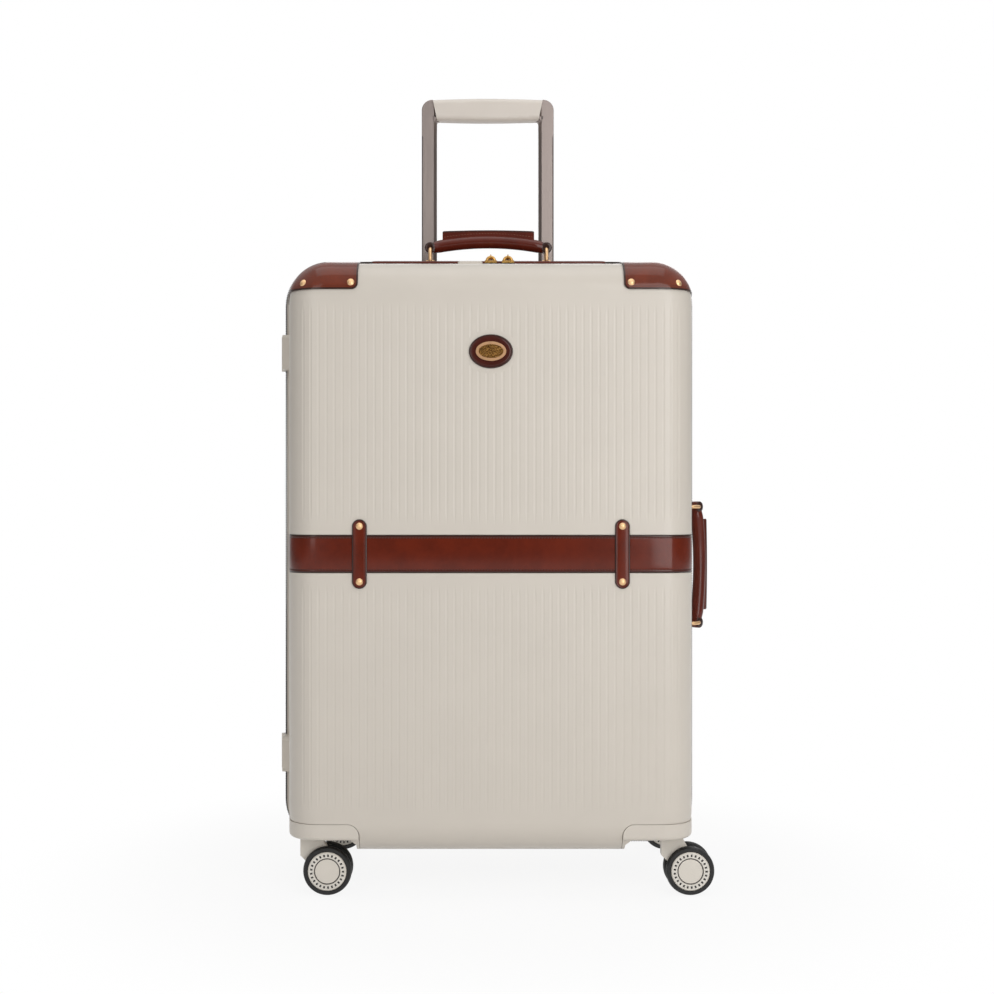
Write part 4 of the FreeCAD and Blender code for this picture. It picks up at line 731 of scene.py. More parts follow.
def outward(mesh: Mesh) -> None:
    """Merges doubled points and turns all faces outwards."""
    with edited(mesh) as work:
        bmesh.ops.remove_doubles(work, verts=work.verts, dist=DOUBLED)
        bmesh.ops.recalc_face_normals(work, faces=work.faces)


def cover(mesh: Mesh, finish: Finish) -> None:
    """Gives a whole mesh one finish.

    Args:
        mesh: The mesh.
        finish: Its finish.
    """
    mesh.materials.clear()
    mesh.materials.append(finish.material())
    for polygon in mesh.polygons:
        polygon.material_index = 0


def baked(piece: Piece) -> Mesh:
    """The plain mesh that a piece comes to with its modifiers."""
    graph = bpy.context.evaluated_depsgraph_get()
    return bpy.data.meshes.new_from_object(piece.evaluated_get(graph))


def merged_copy(name: str, finish: Finish, *nodes: str, round_off: float = 0.0) -> Piece:
    """A merged copy of CAD nodes with its sharp edges rounded off.

    Args:
        name: The copy's name.
        finish: Its finish.
        nodes: The CAD nodes.
        round_off: Width of the rounding in millimetres.

    Returns:
        The new piece, at the origin.
    """
    work = bmesh.new()
    for node in nodes:
        work.from_mesh(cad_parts[node].data)
    bmesh.ops.remove_doubles(work, verts=work.verts, dist=CAD_DOUBLED)
    bmesh.ops.dissolve_limit(work, angle_limit=math.radians(LEVEL), verts=work.verts, edges=work.edges)
    mesh = bpy.data.meshes.new(name)
    work.to_mesh(mesh)
    work.free()
    cover(mesh, finish)
    piece = add_object(name, mesh)
    if round_off:
        bevel = piece.modifiers.new("rounding", "BEVEL")
        bevel.width = round_off * MM
        bevel.segments = 3
        bevel.limit_method = "ANGLE"
        bevel.angle_limit = math.radians(ROUNDED)
        settle(piece)
    soften(piece.data)
    return piece


def bevel_edges(piece: Piece, chosen: Callable[[Vector, Vector], bool], width: float, steps: int) -> None:
    """Bevels the edges of a piece that a test picks.

    Args:
        piece: The piece, at the origin.
        chosen: Tells from an edge's two ends, in metres, whether it is bevelled.
        width: The bevel's width in millimetres.
        steps: Its number of faces.
    """
    with edited(piece.data) as work:
        picked = [edge for edge in work.edges if chosen(edge.verts[0].co, edge.verts[1].co)]
        bmesh.ops.bevel(work, geom=picked, offset=width * MM, offset_type="OFFSET", segments=steps,
                        profile=0.5, affect="EDGES", clamp_overlap=True)
    log.info("%s: %d edges bevelled", piece.name, len(picked))


def settle(piece: Piece) -> None:
    """Turns a piece's modifiers into its plain mesh."""
    mesh = baked(piece)
    piece.modifiers.clear()
    piece.data = mesh


def box_map(mesh: Mesh) -> None:
    """Lays a weave map on a mesh, face by face, along the two axes that it faces least.

    Args:
        mesh: The mesh, in metres.
    """
    layer = mesh.uv_layers.get("weave") or mesh.uv_layers.new(name="weave")
    for polygon in mesh.polygons:
        facing = max(range(3), key=lambda axis: abs(polygon.normal[axis]))
        first, second = [axis for axis in range(3) if axis != facing]
        for corner in polygon.loop_indices:
            place = mesh.vertices[mesh.loops[corner].vertex_index].co
            layer.data[corner].uv = (place[first], place[second])


def soften(mesh: Mesh) -> None:
    """Shades a mesh smoothly up to its sharp edges and lays its weave map."""
    mesh.shade_smooth()
    mesh.set_sharp_from_angle(angle=math.radians(SHARP))
    box_map(mesh)


class Tree:
    """A Geometry Nodes tree with named inputs, run on a piece and turned into a plain mesh."""

    def __init__(self, name: str, inputs: dict[str, str]) -> None:
        """Makes the tree's sockets.

        Args:
            name: The tree's name.
            inputs: Socket types by input name.
        """
        self.tree = bpy.data.node_groups.new(name, "GeometryNodeTree")
        face = self.tree.interface
        face.new_socket("Geometry", in_out="INPUT", socket_type="NodeSocketGeometry")
        face.new_socket("Geometry", in_out="OUTPUT", socket_type="NodeSocketGeometry")
        for label, kind in inputs.items():
            face.new_socket(label, in_out="INPUT", socket_type=kind)
        self.wiring = Wiring(self.tree)
        self.source = self.wiring.add("NodeGroupInput").outputs
        self.target = self.wiring.add("NodeGroupOutput").inputs[0]

    def end(self, geometry: Socket) -> None:
        """Realizes what the tree made and gives it its material.

        Args:
            geometry: What the tree made.
        """
        whole = self.wiring.add("GeometryNodeRealizeInstances", {0: geometry}).outputs[0]
        smooth = self.wiring.add("GeometryNodeSetShadeSmooth", {"Geometry": whole}).outputs[0]
        inputs = {"Geometry": smooth, "Material": self.source["Material"]}
        self.wiring.feed(self.target, self.wiring.add("GeometryNodeSetMaterial", inputs).outputs[0])

    def stretched(self, shape: Socket, *sizes: str) -> Socket:
        """A shape of unit size, stretched along X, Y and Z by three named inputs.

        Args:
            shape: The shape.
            sizes: The names of the three inputs.

        Returns:
            The stretched shape.
        """
        lengths = {axis: self.source[name] for axis, name in enumerate(sizes)}
        scale = self.wiring.add("ShaderNodeCombineXYZ", lengths).outputs[0]
        return self.wiring.add("GeometryNodeTransform", {"Geometry": shape, "Scale": scale}).outputs[0]

    def run(self, path: Piece, name: str, **values: object) -> Piece:
        """Runs the tree on a path and keeps the result as a plain mesh.

        Args:
            path: The object that the tree works on, which is used up.
            name: The new piece's name.
            values: Values of the named inputs, with spaces as underscores.

        Returns:
            The new piece.
        """
        modifier = path.modifiers.new("tree", "NODES")
        modifier.node_group = self.tree
        for item in self.tree.interface.items_tree:
            key = item.name.replace(" ", "_").lower()
            if item.in_out == "INPUT" and key in values:
                modifier[item.identifier] = values[key]
        mesh = baked(path)
        bpy.data.objects.remove(path)
        mesh.name = name
        return add_object(name, mesh)


class BeadRow(Tree):
    """Beads, stitches or coil turns set along a path at a spacing, turned to face outwards."""

    def __init__(self) -> None:
        """Builds the tree."""
        sizes = dict.fromkeys(("Spacing", "Long", "Wide", "High", "Slant"), "NodeSocketFloat")
        super().__init__("bead_row", {**sizes, "Square": "NodeSocketBool", "Material": "NodeSocketMaterial"})
        wiring, source = self.wiring, self.source
        curve = wiring.add("GeometryNodeMeshToCurve", {0: source["Geometry"]}).outputs[0]
        spaced = wiring.add("GeometryNodeResampleCurve", {"Curve": curve, "Length": source["Spacing"]},
                            mode="LENGTH")
        facing = wiring.add("GeometryNodeInputNamedAttribute", {"Name": "facing"}, data_type="FLOAT_VECTOR")
        tangent = wiring.add("GeometryNodeInputTangent").outputs[0]
        upright = wiring.add("FunctionNodeAlignRotationToVector", {"Vector": facing.outputs[0]}, axis="Z")
        along = wiring.add("FunctionNodeAlignRotationToVector",
                           {"Rotation": upright.outputs[0], "Vector": tangent}, axis="X", pivot_axis="Z")
        slant = {"Axis": (0.0, 0.0, 1.0), "Angle": source["Slant"]}
        tilt = wiring.add("FunctionNodeAxisAngleToRotation", slant)
        both = {"Rotation": along.outputs[0], "Rotate By": tilt.outputs[0]}
        turn = wiring.add("FunctionNodeRotateRotation", both, rotation_space="LOCAL")
        ball = wiring.add("GeometryNodeMeshUVSphere", {"Segments": 8, "Rings": 6, "Radius": 0.5}).outputs[0]
        block = wiring.add("GeometryNodeMeshCube", {"Size": (1.0, 1.0, 1.0)}).outputs[0]
        shape = wiring.add("GeometryNodeSwitch", {"Switch": source["Square"], "False": ball, "True": block},
                           input_type="GEOMETRY").outputs[0]
        bead = self.stretched(shape, "Long", "Wide", "High")
        placed = wiring.add("GeometryNodeInstanceOnPoints", {"Points": spaced.outputs[0], "Instance": bead,
                                                             "Rotation": turn.outputs[0]})
        self.end(placed.outputs[0])

    def lay(self, name: str, line: Piece, finish: Finish, spacing: float, size: Point, slant: float = 0.0,
            square: bool = False) -> Piece:
        """Lays beads along a line.

        Args:
            name: The new piece's name.
            line: The line, which is used up.
            finish: The beads' finish.
            spacing: The distance from bead to bead in millimetres.
            size: A bead's length, width and height in millimetres.
            slant: How far a bead turns away from the line, in radians.
            square: Whether the beads are blocks.

        Returns:
            The beads as one piece.
        """
        long, wide, high = [value * MM for value in size]
        return self.run(line, name, spacing=spacing * MM, long=long, wide=wide, high=high, slant=slant,
                        square=square, material=finish.material())


class PebbleField(Tree):
    """Small domes scattered over a surface, none too close to the next."""

    def __init__(self) -> None:
        """Builds the tree."""
        sizes = dict.fromkeys(("Gap", "Size", "Height"), "NodeSocketFloat")
        super().__init__("pebble_field", {**sizes, "Seed": "NodeSocketInt", "Material": "NodeSocketMaterial"})
        wiring, source = self.wiring, self.source
        spread = wiring.add("GeometryNodeDistributePointsOnFaces", {
            "Mesh": source["Geometry"], "Distance Min": source["Gap"], "Density Max": 4.0e6,
            "Seed": source["Seed"]}, distribute_method="POISSON")
        ball = wiring.add("GeometryNodeMeshUVSphere", {"Segments": 8, "Rings": 5, "Radius": 0.5}).outputs[0]
        dome = self.stretched(ball, "Size", "Size", "Height")
        some = wiring.add("FunctionNodeRandomValue", {2: 0.7, 3: 1.1, "Seed": source["Seed"]},
                          data_type="FLOAT")
        placed = wiring.add("GeometryNodeInstanceOnPoints", {
            "Points": spread.outputs["Points"], "Instance": dome, "Rotation": spread.outputs["Rotation"],
            "Scale": some.outputs[1]})
        self.end(placed.outputs[0])


def path_piece(points: Sequence[Point], facing: Sequence[Point], closed: bool = False) -> Piece:
    """A line of points that a tree follows, each with the direction that its bead faces.

    Args:
        points: The points in millimetres.
        facing: The outward direction at each point.
        closed: Whether the line joins up.

    Returns:
        The line as an object.
    """
    count = len(points)
    mesh = bpy.data.meshes.new("line")
    edges = [(number, (number + 1) % count) for number in range(count if closed else count - 1)]
    mesh.from_pydata([Vector(point) * MM for point in points], edges, [])
    held = mesh.attributes.new("facing", "FLOAT_VECTOR", "POINT")
    for number, way in enumerate(facing):
        held.data[number].vector = way
    return add_object("line", mesh)


def join(name: str, pieces: Sequence[Piece]) -> Piece:
    """Joins pieces into one, with one material slot for each of their materials.

    Args:
        name: The joined piece's name.
        pieces: The pieces, which are used up.

    Returns:
        The joined piece.
    """
    with bpy.context.temp_override(active_object=pieces[0], selected_editable_objects=list(pieces),
                                   object=pieces[0], selected_objects=list(pieces)):
        bpy.ops.object.join()
    pieces[0].name = name
    pieces[0].data.name = name
    return pieces[0]


def arc(centre: Flat, radius: float, start: float, stop: float, count: int) -> list[Flat]:
    """Points on an arc between two angles in degrees, both ends included."""
    angles = [math.radians(start + (stop - start) * number / count) for number in range(count + 1)]
    return [(centre[0] + radius * math.cos(angle), centre[1] + radius * math.sin(angle)) for angle in angles]


def turns(count: int) -> list[float]:
    """Angles spread evenly over a full turn."""
    return np.linspace(0, 2 * math.pi, count, endpoint=False).tolist()


def lathe(centre: Point, section: Sequence[Flat], count: int) -> list[list[Point]]:
    """Turns a section round an axis that runs along Y.

    Args:
        centre: A point on the axis.
        section: The distance from the centre along the axis and the radius of each point.
        count: How many times the section is set round the axis.

    Returns:
        The sections as rows of points.
    """
    x, y, z = centre
    return [[(x + radius * math.cos(turn), y + along, z + radius * math.sin(turn))
             for along, radius in section] for turn in turns(count)]


def rounded_rectangle(half: Flat, radius: float, centre: Flat = (0.0, 0.0), steps: int = 10) -> list[Flat]:
    """A rounded rectangle's outline, anticlockwise.

    Args:
        half: Half of its width and height.
        radius: Its corner radius.
        centre: Its middle.
        steps: Points in each corner.

    Returns:
        The outline's points.
    """
    places = [(1, -1, -90), (1, 1, 0), (-1, 1, 90), (-1, -1, 180)]
    points = []
    for across, up, start in places:
        middle = (centre[0] + across * (half[0] - radius), centre[1] + up * (half[1] - radius))
        points += arc(middle, radius, start, start + 90, steps)
    return points


@dataclass
class CaseForm:
    """The half shells' main sizes, which trim and leather follow."""

    half_width: float = 244.5
    half_height: float = 350.0
    centre: float = 390.3
    depth: float = 155.0
    rim_gap: float = 10.0
    draft: float = 6.2
    corner: float = 46.0
    edge: float = 36.0
    wall_steps: int = 8

    def flat(self) -> float:
        """Half of the flat face's width, up to where the rounded edges start."""
        return self.wall(self.depth) - self.edge * math.tan(math.radians(90 - self.draft) / 2)

    def bend(self) -> float:
        """How far from the meeting plane the rounded edges have their middle."""
        return self.depth - self.edge

    def wall(self, setback: float) -> float:
        """How far out a side wall is at a distance from the meeting plane."""
        return self.half_width - (setback - self.rim_gap) * math.tan(math.radians(self.draft))

    def rim(self, offset: float, steps: int = 12) -> list[Flat]:
        """The rim's outline at an offset, in the plane that the halves meet in."""
        return rounded_rectangle((self.half_width + offset, self.half_height + offset), self.corner + offset,
                                 (0.0, self.centre), steps)

    def girth(self, start: float, flat_steps: int = 24, arc_steps: int = 14) -> Line:
        """A level line round the front half from one side wall to the other.

        Args:
            start: Where it starts on the side walls, as a distance from the meeting plane.
            flat_steps: Points over the flat front.
            arc_steps: Points round each rounded edge.

        Returns:
            Points in X and Y with their outward directions.
        """
        flat = self.flat()
        normal = (math.cos(math.radians(self.draft)), -math.sin(math.radians(self.draft)))
        turn_y = -self.bend() + self.edge * normal[1]
        right = []
        for number in range(self.wall_steps):
            y = -start + (turn_y + start) * number / self.wall_steps
            right.append(((self.wall(-y), y), normal))
        for number in range(arc_steps + 1):
            angle = math.radians(-self.draft - (90 - self.draft) * number / arc_steps)
            way = (math.cos(angle), math.sin(angle))
            right.append(((flat + self.edge * way[0], -self.bend() + self.edge * way[1]), way))
        front = [((flat - 2 * flat * number / flat_steps, -self.depth), (0.0, -1.0))
                 for number in range(1, flat_steps)]
        left = [((-place[0], place[1]), (-way[0], way[1])) for place, way in reversed(right)]
        return right + front + left


CASE = CaseForm()


@dataclass
class CaseShells:
    """The ribbed half shells, caster housings and the hinges between them."""

    skin: float = 0.004
    groove_depth: float = 0.52
    groove_reach: float = 293.0
    groove_share: float = 0.55
    channel: Flat = (394.1, 26.0)

    def build(self) -> None:
        """Makes the shells and gives the mouldings and the hinges their finishes."""
        for half, _, body in HALVES:
            carry(self.shell(half), body, Slot.SHELL, f"{half}_shell")
            dress(TRIM, f"{half}_caster_housings")
            dress(HINGE_PLASTIC, f"{half}_hinge_leaves")
        dress(STEEL, "hinge_pins")

    def bed(self, place: Vector, half: str) -> Optional[tuple[Vector, float]]:
        """Where a point of a groove lies, or nothing for any other point.

        Args:
            place: The point in metres.
            half: The half's name.

        Returns:
            The skin's outward direction there, and how deep the point lies under the skin in millimetres.
        """
        x, y, z = place / MM
        middle, reach = self.channel
        in_channel = half == "front" and abs(z - middle) < reach
        if in_channel or abs(z - CASE.centre) > self.groove_reach:
            return None
        way = Vector((0.0, math.copysign(1.0, y), 0.0))
        depth = CASE.depth - abs(y)
        past = abs(x) - CASE.flat()
        if past > 0:
            way = Vector((math.copysign(past, x), math.copysign(abs(y) - CASE.bend(), y), 0.0))
            depth = CASE.edge - way.length
            way.normalize()
            if abs(way.x) > math.cos(math.radians(CASE.draft)) or abs(y) < CASE.bend():
                return None
        return (way, depth) if self.skin < depth < self.groove_depth else None

    def shell(self, half: str) -> Piece:
        """A merged copy of a half's shell, with grooves as soft as the moulding shows them.

        Args:
            half: The half's name.

        Returns:
            The new piece.
        """
        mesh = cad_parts[f"{half}_shell"].data.copy()
        kept = mesh.attributes.new("kept", "FLOAT_VECTOR", "CORNER")
        normals = np.empty(len(mesh.loops) * 3, dtype=np.float32)
        mesh.corner_normals.foreach_get("vector", normals)
        kept.data.foreach_set("vector", normals)
        with edited(mesh) as work:
            bmesh.ops.remove_doubles(work, verts=work.verts, dist=CAD_DOUBLED)
            layer = work.loops.layers.float_vector["kept"]
            beds = {vert.index: self.bed(vert.co, half) for vert in work.verts}
            for vert in work.verts:
                if beds[vert.index]:
                    way, depth = beds[vert.index]
                    vert.co += way * depth * (1 - self.groove_share) * MM
            for face in work.faces:
                way = next((beds[vert.index][0] for vert in face.verts if beds[vert.index]), None)
                if way is None:
                    continue
                for loop in face.loops:
                    straight = way * loop[layer].dot(way)
                    loop[layer] = (straight + (loop[layer] - straight) * self.groove_share).normalized()
        normals = np.empty(len(mesh.loops) * 3, dtype=np.float32)
        mesh.attributes["kept"].data.foreach_get("vector", normals)
        mesh.attributes.remove(mesh.attributes["kept"])
        mesh.shade_smooth()
        mesh.normals_split_custom_set(normals.reshape(-1, 3).tolist())
        mesh.name = f"{half}_ribbed_skin"
        cover(mesh, SHELL)
        return add_object(mesh.name, mesh)


@dataclass
class LeatherTrim:
    """The strap round the front half, its keepers, the corner guards and their rivets."""

    strap_height: float = 394.1
    strap_width: float = 43.0
    strap_thickness: float = 1.8
    strap_start: float = 18.0
    strap_crown: float = 0.35
    edge_line: float = 3.4
    stitch_spacing: float = 3.4
    stitch: Point = (2.4, 0.7, 0.5)
    stitch_slant: float = 0.12
    keeper_places: Flat = (-149.0, 149.0)
    keeper_half: Flat = (8.4, 39.4)
    keeper_radius: float = 8.3
    keeper_thickness: float = 2.2
    least_radius: float = 0.05
    guard_rounding: float = 0.7

    def build(self, beads: BeadRow) -> None:
        """Makes the leather and gives the rivets their brass.

        Args:
            beads: The tree that sets the stitches.
        """
        carry(self.strap(), Body.FRONT, Slot.LEATHER, "front_strap")
        carry(self.strap_stitches(beads), Body.FRONT, Slot.LEATHER)
        carry(self.keepers(), Body.FRONT, Slot.LEATHER, "strap_keepers")
        for half, _, body in HALVES:
            node = f"{half}_corner_guards"
            guards = merged_copy(f"{half}_guard_leather", GUARD_LEATHER, node, round_off=self.guard_rounding)
            carry(guards, body, Slot.LEATHER, node)
            dress(SATIN_BRASS, f"{half}_rivets")

    def strap_section(self) -> tuple[list[Flat], list[float], list[float]]:
        """The strap's section, as distance out from its bed and height from its middle.

        Returns:
            The points, how burnished each is, and how deep it lies in the creased line.
        """
        half, thick, crown = self.strap_width / 2, self.strap_thickness, self.strap_crown
        line = half - self.edge_line
        upper = [(0.0, half - 0.3), (0.5, half), (thick * 0.62, half), (thick * 0.9, half - 0.35),
                 (thick, half - 1.0), (thick + 0.03, half - 2.2), (thick + 0.02, line + 0.6),
                 (thick - 0.16, line), (thick + 0.05, line - 0.6), (thick + 0.12, line - 2.0),
                 (thick + crown * 0.8, line - 8.0)]
        burnish = [1.0, 1.0, 1.0, 1.0, 1.0, 0.75, 0.25, 0.2, 0.0, 0.0, 0.0]
        crease = [0.0, 0.0, 0.0, 0.0, 0.0, 0.0, 0.2, 1.0, 0.2, 0.0, 0.0]
        points = [*upper, (thick + crown, 0.0), *[(out, -high) for out, high in reversed(upper)]]
        return points, [*burnish, 0.0, *burnish[::-1]], [*crease, 0.0, *crease[::-1]]

    def strap(self) -> Piece:
        """The strap, laid in its channel round the front half.

        Returns:
            The new piece.
        """
        section, burnish, crease = self.strap_section()
        rows = []
        for place, way in CASE.girth(self.strap_start):
            rows.append([(place[0] + way[0] * (out - self.strap_thickness),
                          place[1] + way[1] * (out - self.strap_thickness), self.strap_height + high)
                         for out, high in section])
        surface = Surface()
        across = [high for out, high in section]
        surface.solid(rows, across, {"burnish": burnish, "crease": crease})
        return surface.piece("strap_leather_band", STRAP_LEATHER)

    def strap_stitches(self, beads: BeadRow) -> Piece:
        """A row of dark stitches in the creased line along each edge of the strap.

        Args:
            beads: The tree that sets the stitches.

        Returns:
            The new piece.
        """
        line = self.strap_width / 2 - self.edge_line
        girth = CASE.girth(self.strap_start + self.edge_line)
        facing = [(*out, 0.0) for place, out in girth]
        rows = []
        for way in WAYS:
            points = [(*place, self.strap_height + way * line) for place, out in girth]
            rows.append(beads.lay(f"strap_stitches_{way}", path_piece(points, facing), DARK_THREAD,
                                  self.stitch_spacing, self.stitch, self.stitch_slant * way))
        return join("strap_stitches", rows)

    def keepers(self) -> Piece:
        """The two keepers over the strap.

        Returns:
            The new piece.
        """
        surface = Surface()
        for place in self.keeper_places:
            def outline(inset: float, middle: float = place) -> list[Flat]:
                """The keeper's outline, drawn in by an inset."""
                half = (self.keeper_half[0] - inset, self.keeper_half[1] - inset)
                radius = max(self.keeper_radius - inset, self.least_radius)
                return rounded_rectangle(half, radius, (middle, self.strap_height))

            leather_plate(surface, outline, CASE.depth, self.keeper_thickness)
        return surface.piece("keeper_leather", STRAP_LEATHER)


def leather_plate(surface: Surface, outline: Callable[[float], list[Flat]], seat: float,
                  thick: float) -> None:
    """A leather plate on the front face: burnished round its edge, with a creased line inside it.

    Args:
        surface: Where the plate goes.
        outline: Gives the outline in X and Z, drawn in by an inset.
        seat: How far forward its back lies.
        thick: How thick it is.
    """
    # Each step has an inset, a rise over the seat, how dark it is from burnishing and how deep in the creased
    # line.
    steps = [(0.15, 0.0, 1.0, 0.0), (0.0, 0.35, 1.0, 0.0), (0.0, thick * 0.6, 1.0, 0.0),
             (0.3, thick * 0.88, 1.0, 0.0), (0.9, thick, 1.0, 0.0), (1.5, thick + 0.02, 0.6, 0.0),
             (1.9, thick, 0.1, 0.3), (2.3, thick - 0.14, 0.0, 1.0), (2.8, thick + 0.02, 0.0, 0.1),
             (4.0, thick + 0.08, 0.0, 0.0), (6.0, thick + 0.12, 0.0, 0.0)]
    index = len(surface.points)
    rows = [[(x, -(seat + rise), z) for x, z in outline(inset)] for inset, rise, _, _ in steps]
    surface.solid(rows, flip=True)
    for row, (_, _, burnish, crease) in zip(rows, steps):
        for _ in row:
            surface.marks.setdefault("burnish", {})[index] = burnish
            surface.marks.setdefault("crease", {})[index] = crease
            index += 1


@dataclass
class Badge:
    """The oval badge: a leather backing and a brass plate with a pebbled field."""

    height: float = 623.7
    half: Flat = (25.0, 19.25)
    backing: float = 2.2
    backing_points: int = 72
    field_half: Flat = (14.1, 7.8)
    field_points: int = 48
    field_out: float = 158.3
    field_faces: Flat = (-0.1, 0.08)
    pebble_gap: float = 1.1
    pebble: Flat = (1.15, 0.95)
    seed: int = 7

    def build(self) -> None:
        """Makes the backing and the pebbles, and gives the plate its brass."""
        surface = Surface()

        def outline(inset: float) -> list[Flat]:
            """The oval, drawn in by an inset."""
            return self.oval((self.half[0] - inset, self.half[1] - inset), self.backing_points)

        leather_plate(surface, outline, CASE.depth, self.backing)
        carry(surface.piece("badge_leather", BADGE_LEATHER), Body.FRONT, Slot.LEATHER, "badge_backing")
        dress(BADGE_BRASS, "badge_plate")
        carry(self.pebbles(), Body.FRONT, Slot.BRASS)

    def oval(self, half: Flat, count: int) -> list[Flat]:
        """An oval round the badge's middle, in X and Z."""
        return [(half[0] * math.cos(turn), self.height + half[1] * math.sin(turn)) for turn in turns(count)]

    def pebbles(self) -> Piece:
        """The pebbled field inside the plate's border.

        Returns:
            The new piece.
        """
        oval = self.oval(self.field_half, self.field_points)
        rows = [[(x, -(self.field_out + rise), z) for x, z in oval] for rise in self.field_faces]
        ground = Surface()
        ground.solid(rows, flip=True)
        mesh = bpy.data.meshes.new("field")
        mesh.from_pydata([Vector(point) * MM for point in rows[1]], [], [tuple(range(len(oval)))])
        wide, high = self.pebble
        domes = PebbleField().run(add_object("field", mesh), "badge_domes", gap=self.pebble_gap * MM,
                                  size=wide * MM, height=high * MM, seed=self.seed,
                                  material=PEBBLE_BRASS.material())
        return join("badge_pebbles", [domes, ground.piece("badge_ground", AGED_BRASS)])


@dataclass
class ZipFastener:
    """The zip round the rims: a cloth tape and half of the coil on each half, with sliders and pulls."""

    tape_in: float = 1.2
    tape_out: float = 3.2
    near: float = 0.03
    far: float = 10.0
    coil_out: float = 6.8
    coil_far: float = 4.8
    pitch: float = 2.1
    turn_share: float = 0.82
    coil_slant: float = 0.12
    weave_places: tuple[float, ...] = (0.0, 2.0, 9.0, 10.0, 11.0, 12.0, 14.0)
    hem_rise: float = 4.3
    hem_start: float = 141.0
    hem_flat: float = 149.0
    hem_fall: float = 58.0
    hem_power: float = 1.9
    step: float = 6.0
    hinge_places: Flat = (145.8, 634.8)
    hinge_half: float = 22.0
    close: float = 0.001

    def build(self, beads: BeadRow) -> None:
        """Makes the tapes and coils, and gives the sliders and pulls their brass.

        Args:
            beads: The tree that sets the coil's turns.
        """
        for half, side, body in HALVES:
            pieces = []
            for number, run in enumerate(self.runs()):
                pieces.append(self.tape(f"{half}_tape_{number}", run, side))
                pieces.append(self.coil(f"{half}_coil_{number}", run, side, beads))
            carry(join(f"{half}_zip_tape_and_coil", pieces), body, Slot.ZIP, f"{half}_zip_tape")
        dress(SLIDER_BRASS, "left_zip_slider", "right_zip_slider", "left_zip_pull", "right_zip_pull")

    def runs(self) -> list[Line]:
        """The rim's line with its outward directions, in two runs that leave the hinges out.

        Returns:
            For each run, points in X and Z on the rim with their directions.
        """
        inner, outer = CASE.rim(0.0), CASE.rim(1.0)
        line = [(place, (far[0] - place[0], far[1] - place[1])) for place, far in zip(inner, outer)]
        side = -CASE.half_width
        low, high = self.hinge_places
        west = (-1.0, 0.0)
        start = next(number for number, (place, _) in enumerate(line) if place[0] <= side + self.close)
        ends = [((side, high + self.hinge_half), west), ((side, low - self.hinge_half), west)]
        long_run = [ends[1], *line[start + 1:], *line[:start + 1], ends[0]]
        short_run = [((side, high - self.hinge_half), west), ((side, low + self.hinge_half), west)]
        return [self.fill(long_run), self.fill(short_run)]

    def fill(self, run: Line) -> Line:
        """Adds points to long straight stretches of a run.

        Args:
            run: Points with their directions.

        Returns:
            The run with the points added.
        """
        full = [run[0]]
        for (before, first_way), (after, second_way) in zip(run, run[1:]):
            count = max(1, int(math.dist(before, after) / self.step))
            for number in range(1, count + 1):
                share = number / count
                place = tuple(a + (b - a) * share for a, b in zip(before, after))
                way = Vector([a + (b - a) * share for a, b in zip(first_way, second_way)]).normalized()
                full.append((place, (way[0], way[1])))
        return full

    def hem(self, across: float) -> float:
        """How far the front tape's hem stands up, at a distance from the case's middle.

        Args:
            across: The distance.

        Returns:
            The height over the flat cloth.
        """
        if across < self.hem_start:
            return 0.0
        share = max(0.0, across - self.hem_flat) / self.hem_fall
        return self.hem_rise * max(0.0, 1 - share ** self.hem_power)

    def tape(self, name: str, run: Line, side: int) -> Piece:
        """One half's tape along a run: flat cloth, with a raised hem over the front's upper corners.

        Args:
            name: The piece's name.
            run: Points on the rim with their directions.
            side: -1 for the front half and 1 for the rear half.

        Returns:
            The new piece.
        """
        rows = []
        inner, outer, near, far = self.tape_in, self.tape_out, self.near, self.far
        for place, way in run:
            rise = self.hem(abs(place[0])) if side < 0 and way[1] > 0 else 0.0
            section = [(inner, near), (outer, near), (outer, far - 2.2), (outer + 0.35 + rise, far - 1.7),
                       (outer + 0.3 + rise, far - 0.5), (outer - 0.4, far), (inner, far)]
            rows.append([(place[0] + way[0] * out, side * back, place[1] + way[1] * out)
                         for out, back in section])
        surface = Surface()
        surface.solid(rows, self.weave_places)
        return surface.piece(name, ZIP_CLOTH)

    def coil(self, name: str, run: Line, side: int, beads: BeadRow) -> Piece:
        """One half's coil along a run, turn by turn.

        Args:
            name: The piece's name.
            run: Points on the rim with their directions.
            side: -1 for the front half and 1 for the rear half.
            beads: The tree that sets the coil's turns.

        Returns:
            The new piece.
        """
        middle = (self.near + self.coil_far) / 2
        rise = (self.tape_out + self.coil_out) / 2
        points = [(place[0] + way[0] * rise, side * middle, place[1] + way[1] * rise) for place, way in run]
        facing = [(way[0], 0.0, way[1]) for place, way in run]
        size = (self.pitch * self.turn_share, self.coil_far - self.near, self.coil_out - self.tape_out)
        line = path_piece(points, facing)
        return beads.lay(name, line, ZIP_NYLON, self.pitch, size, self.coil_slant * side)


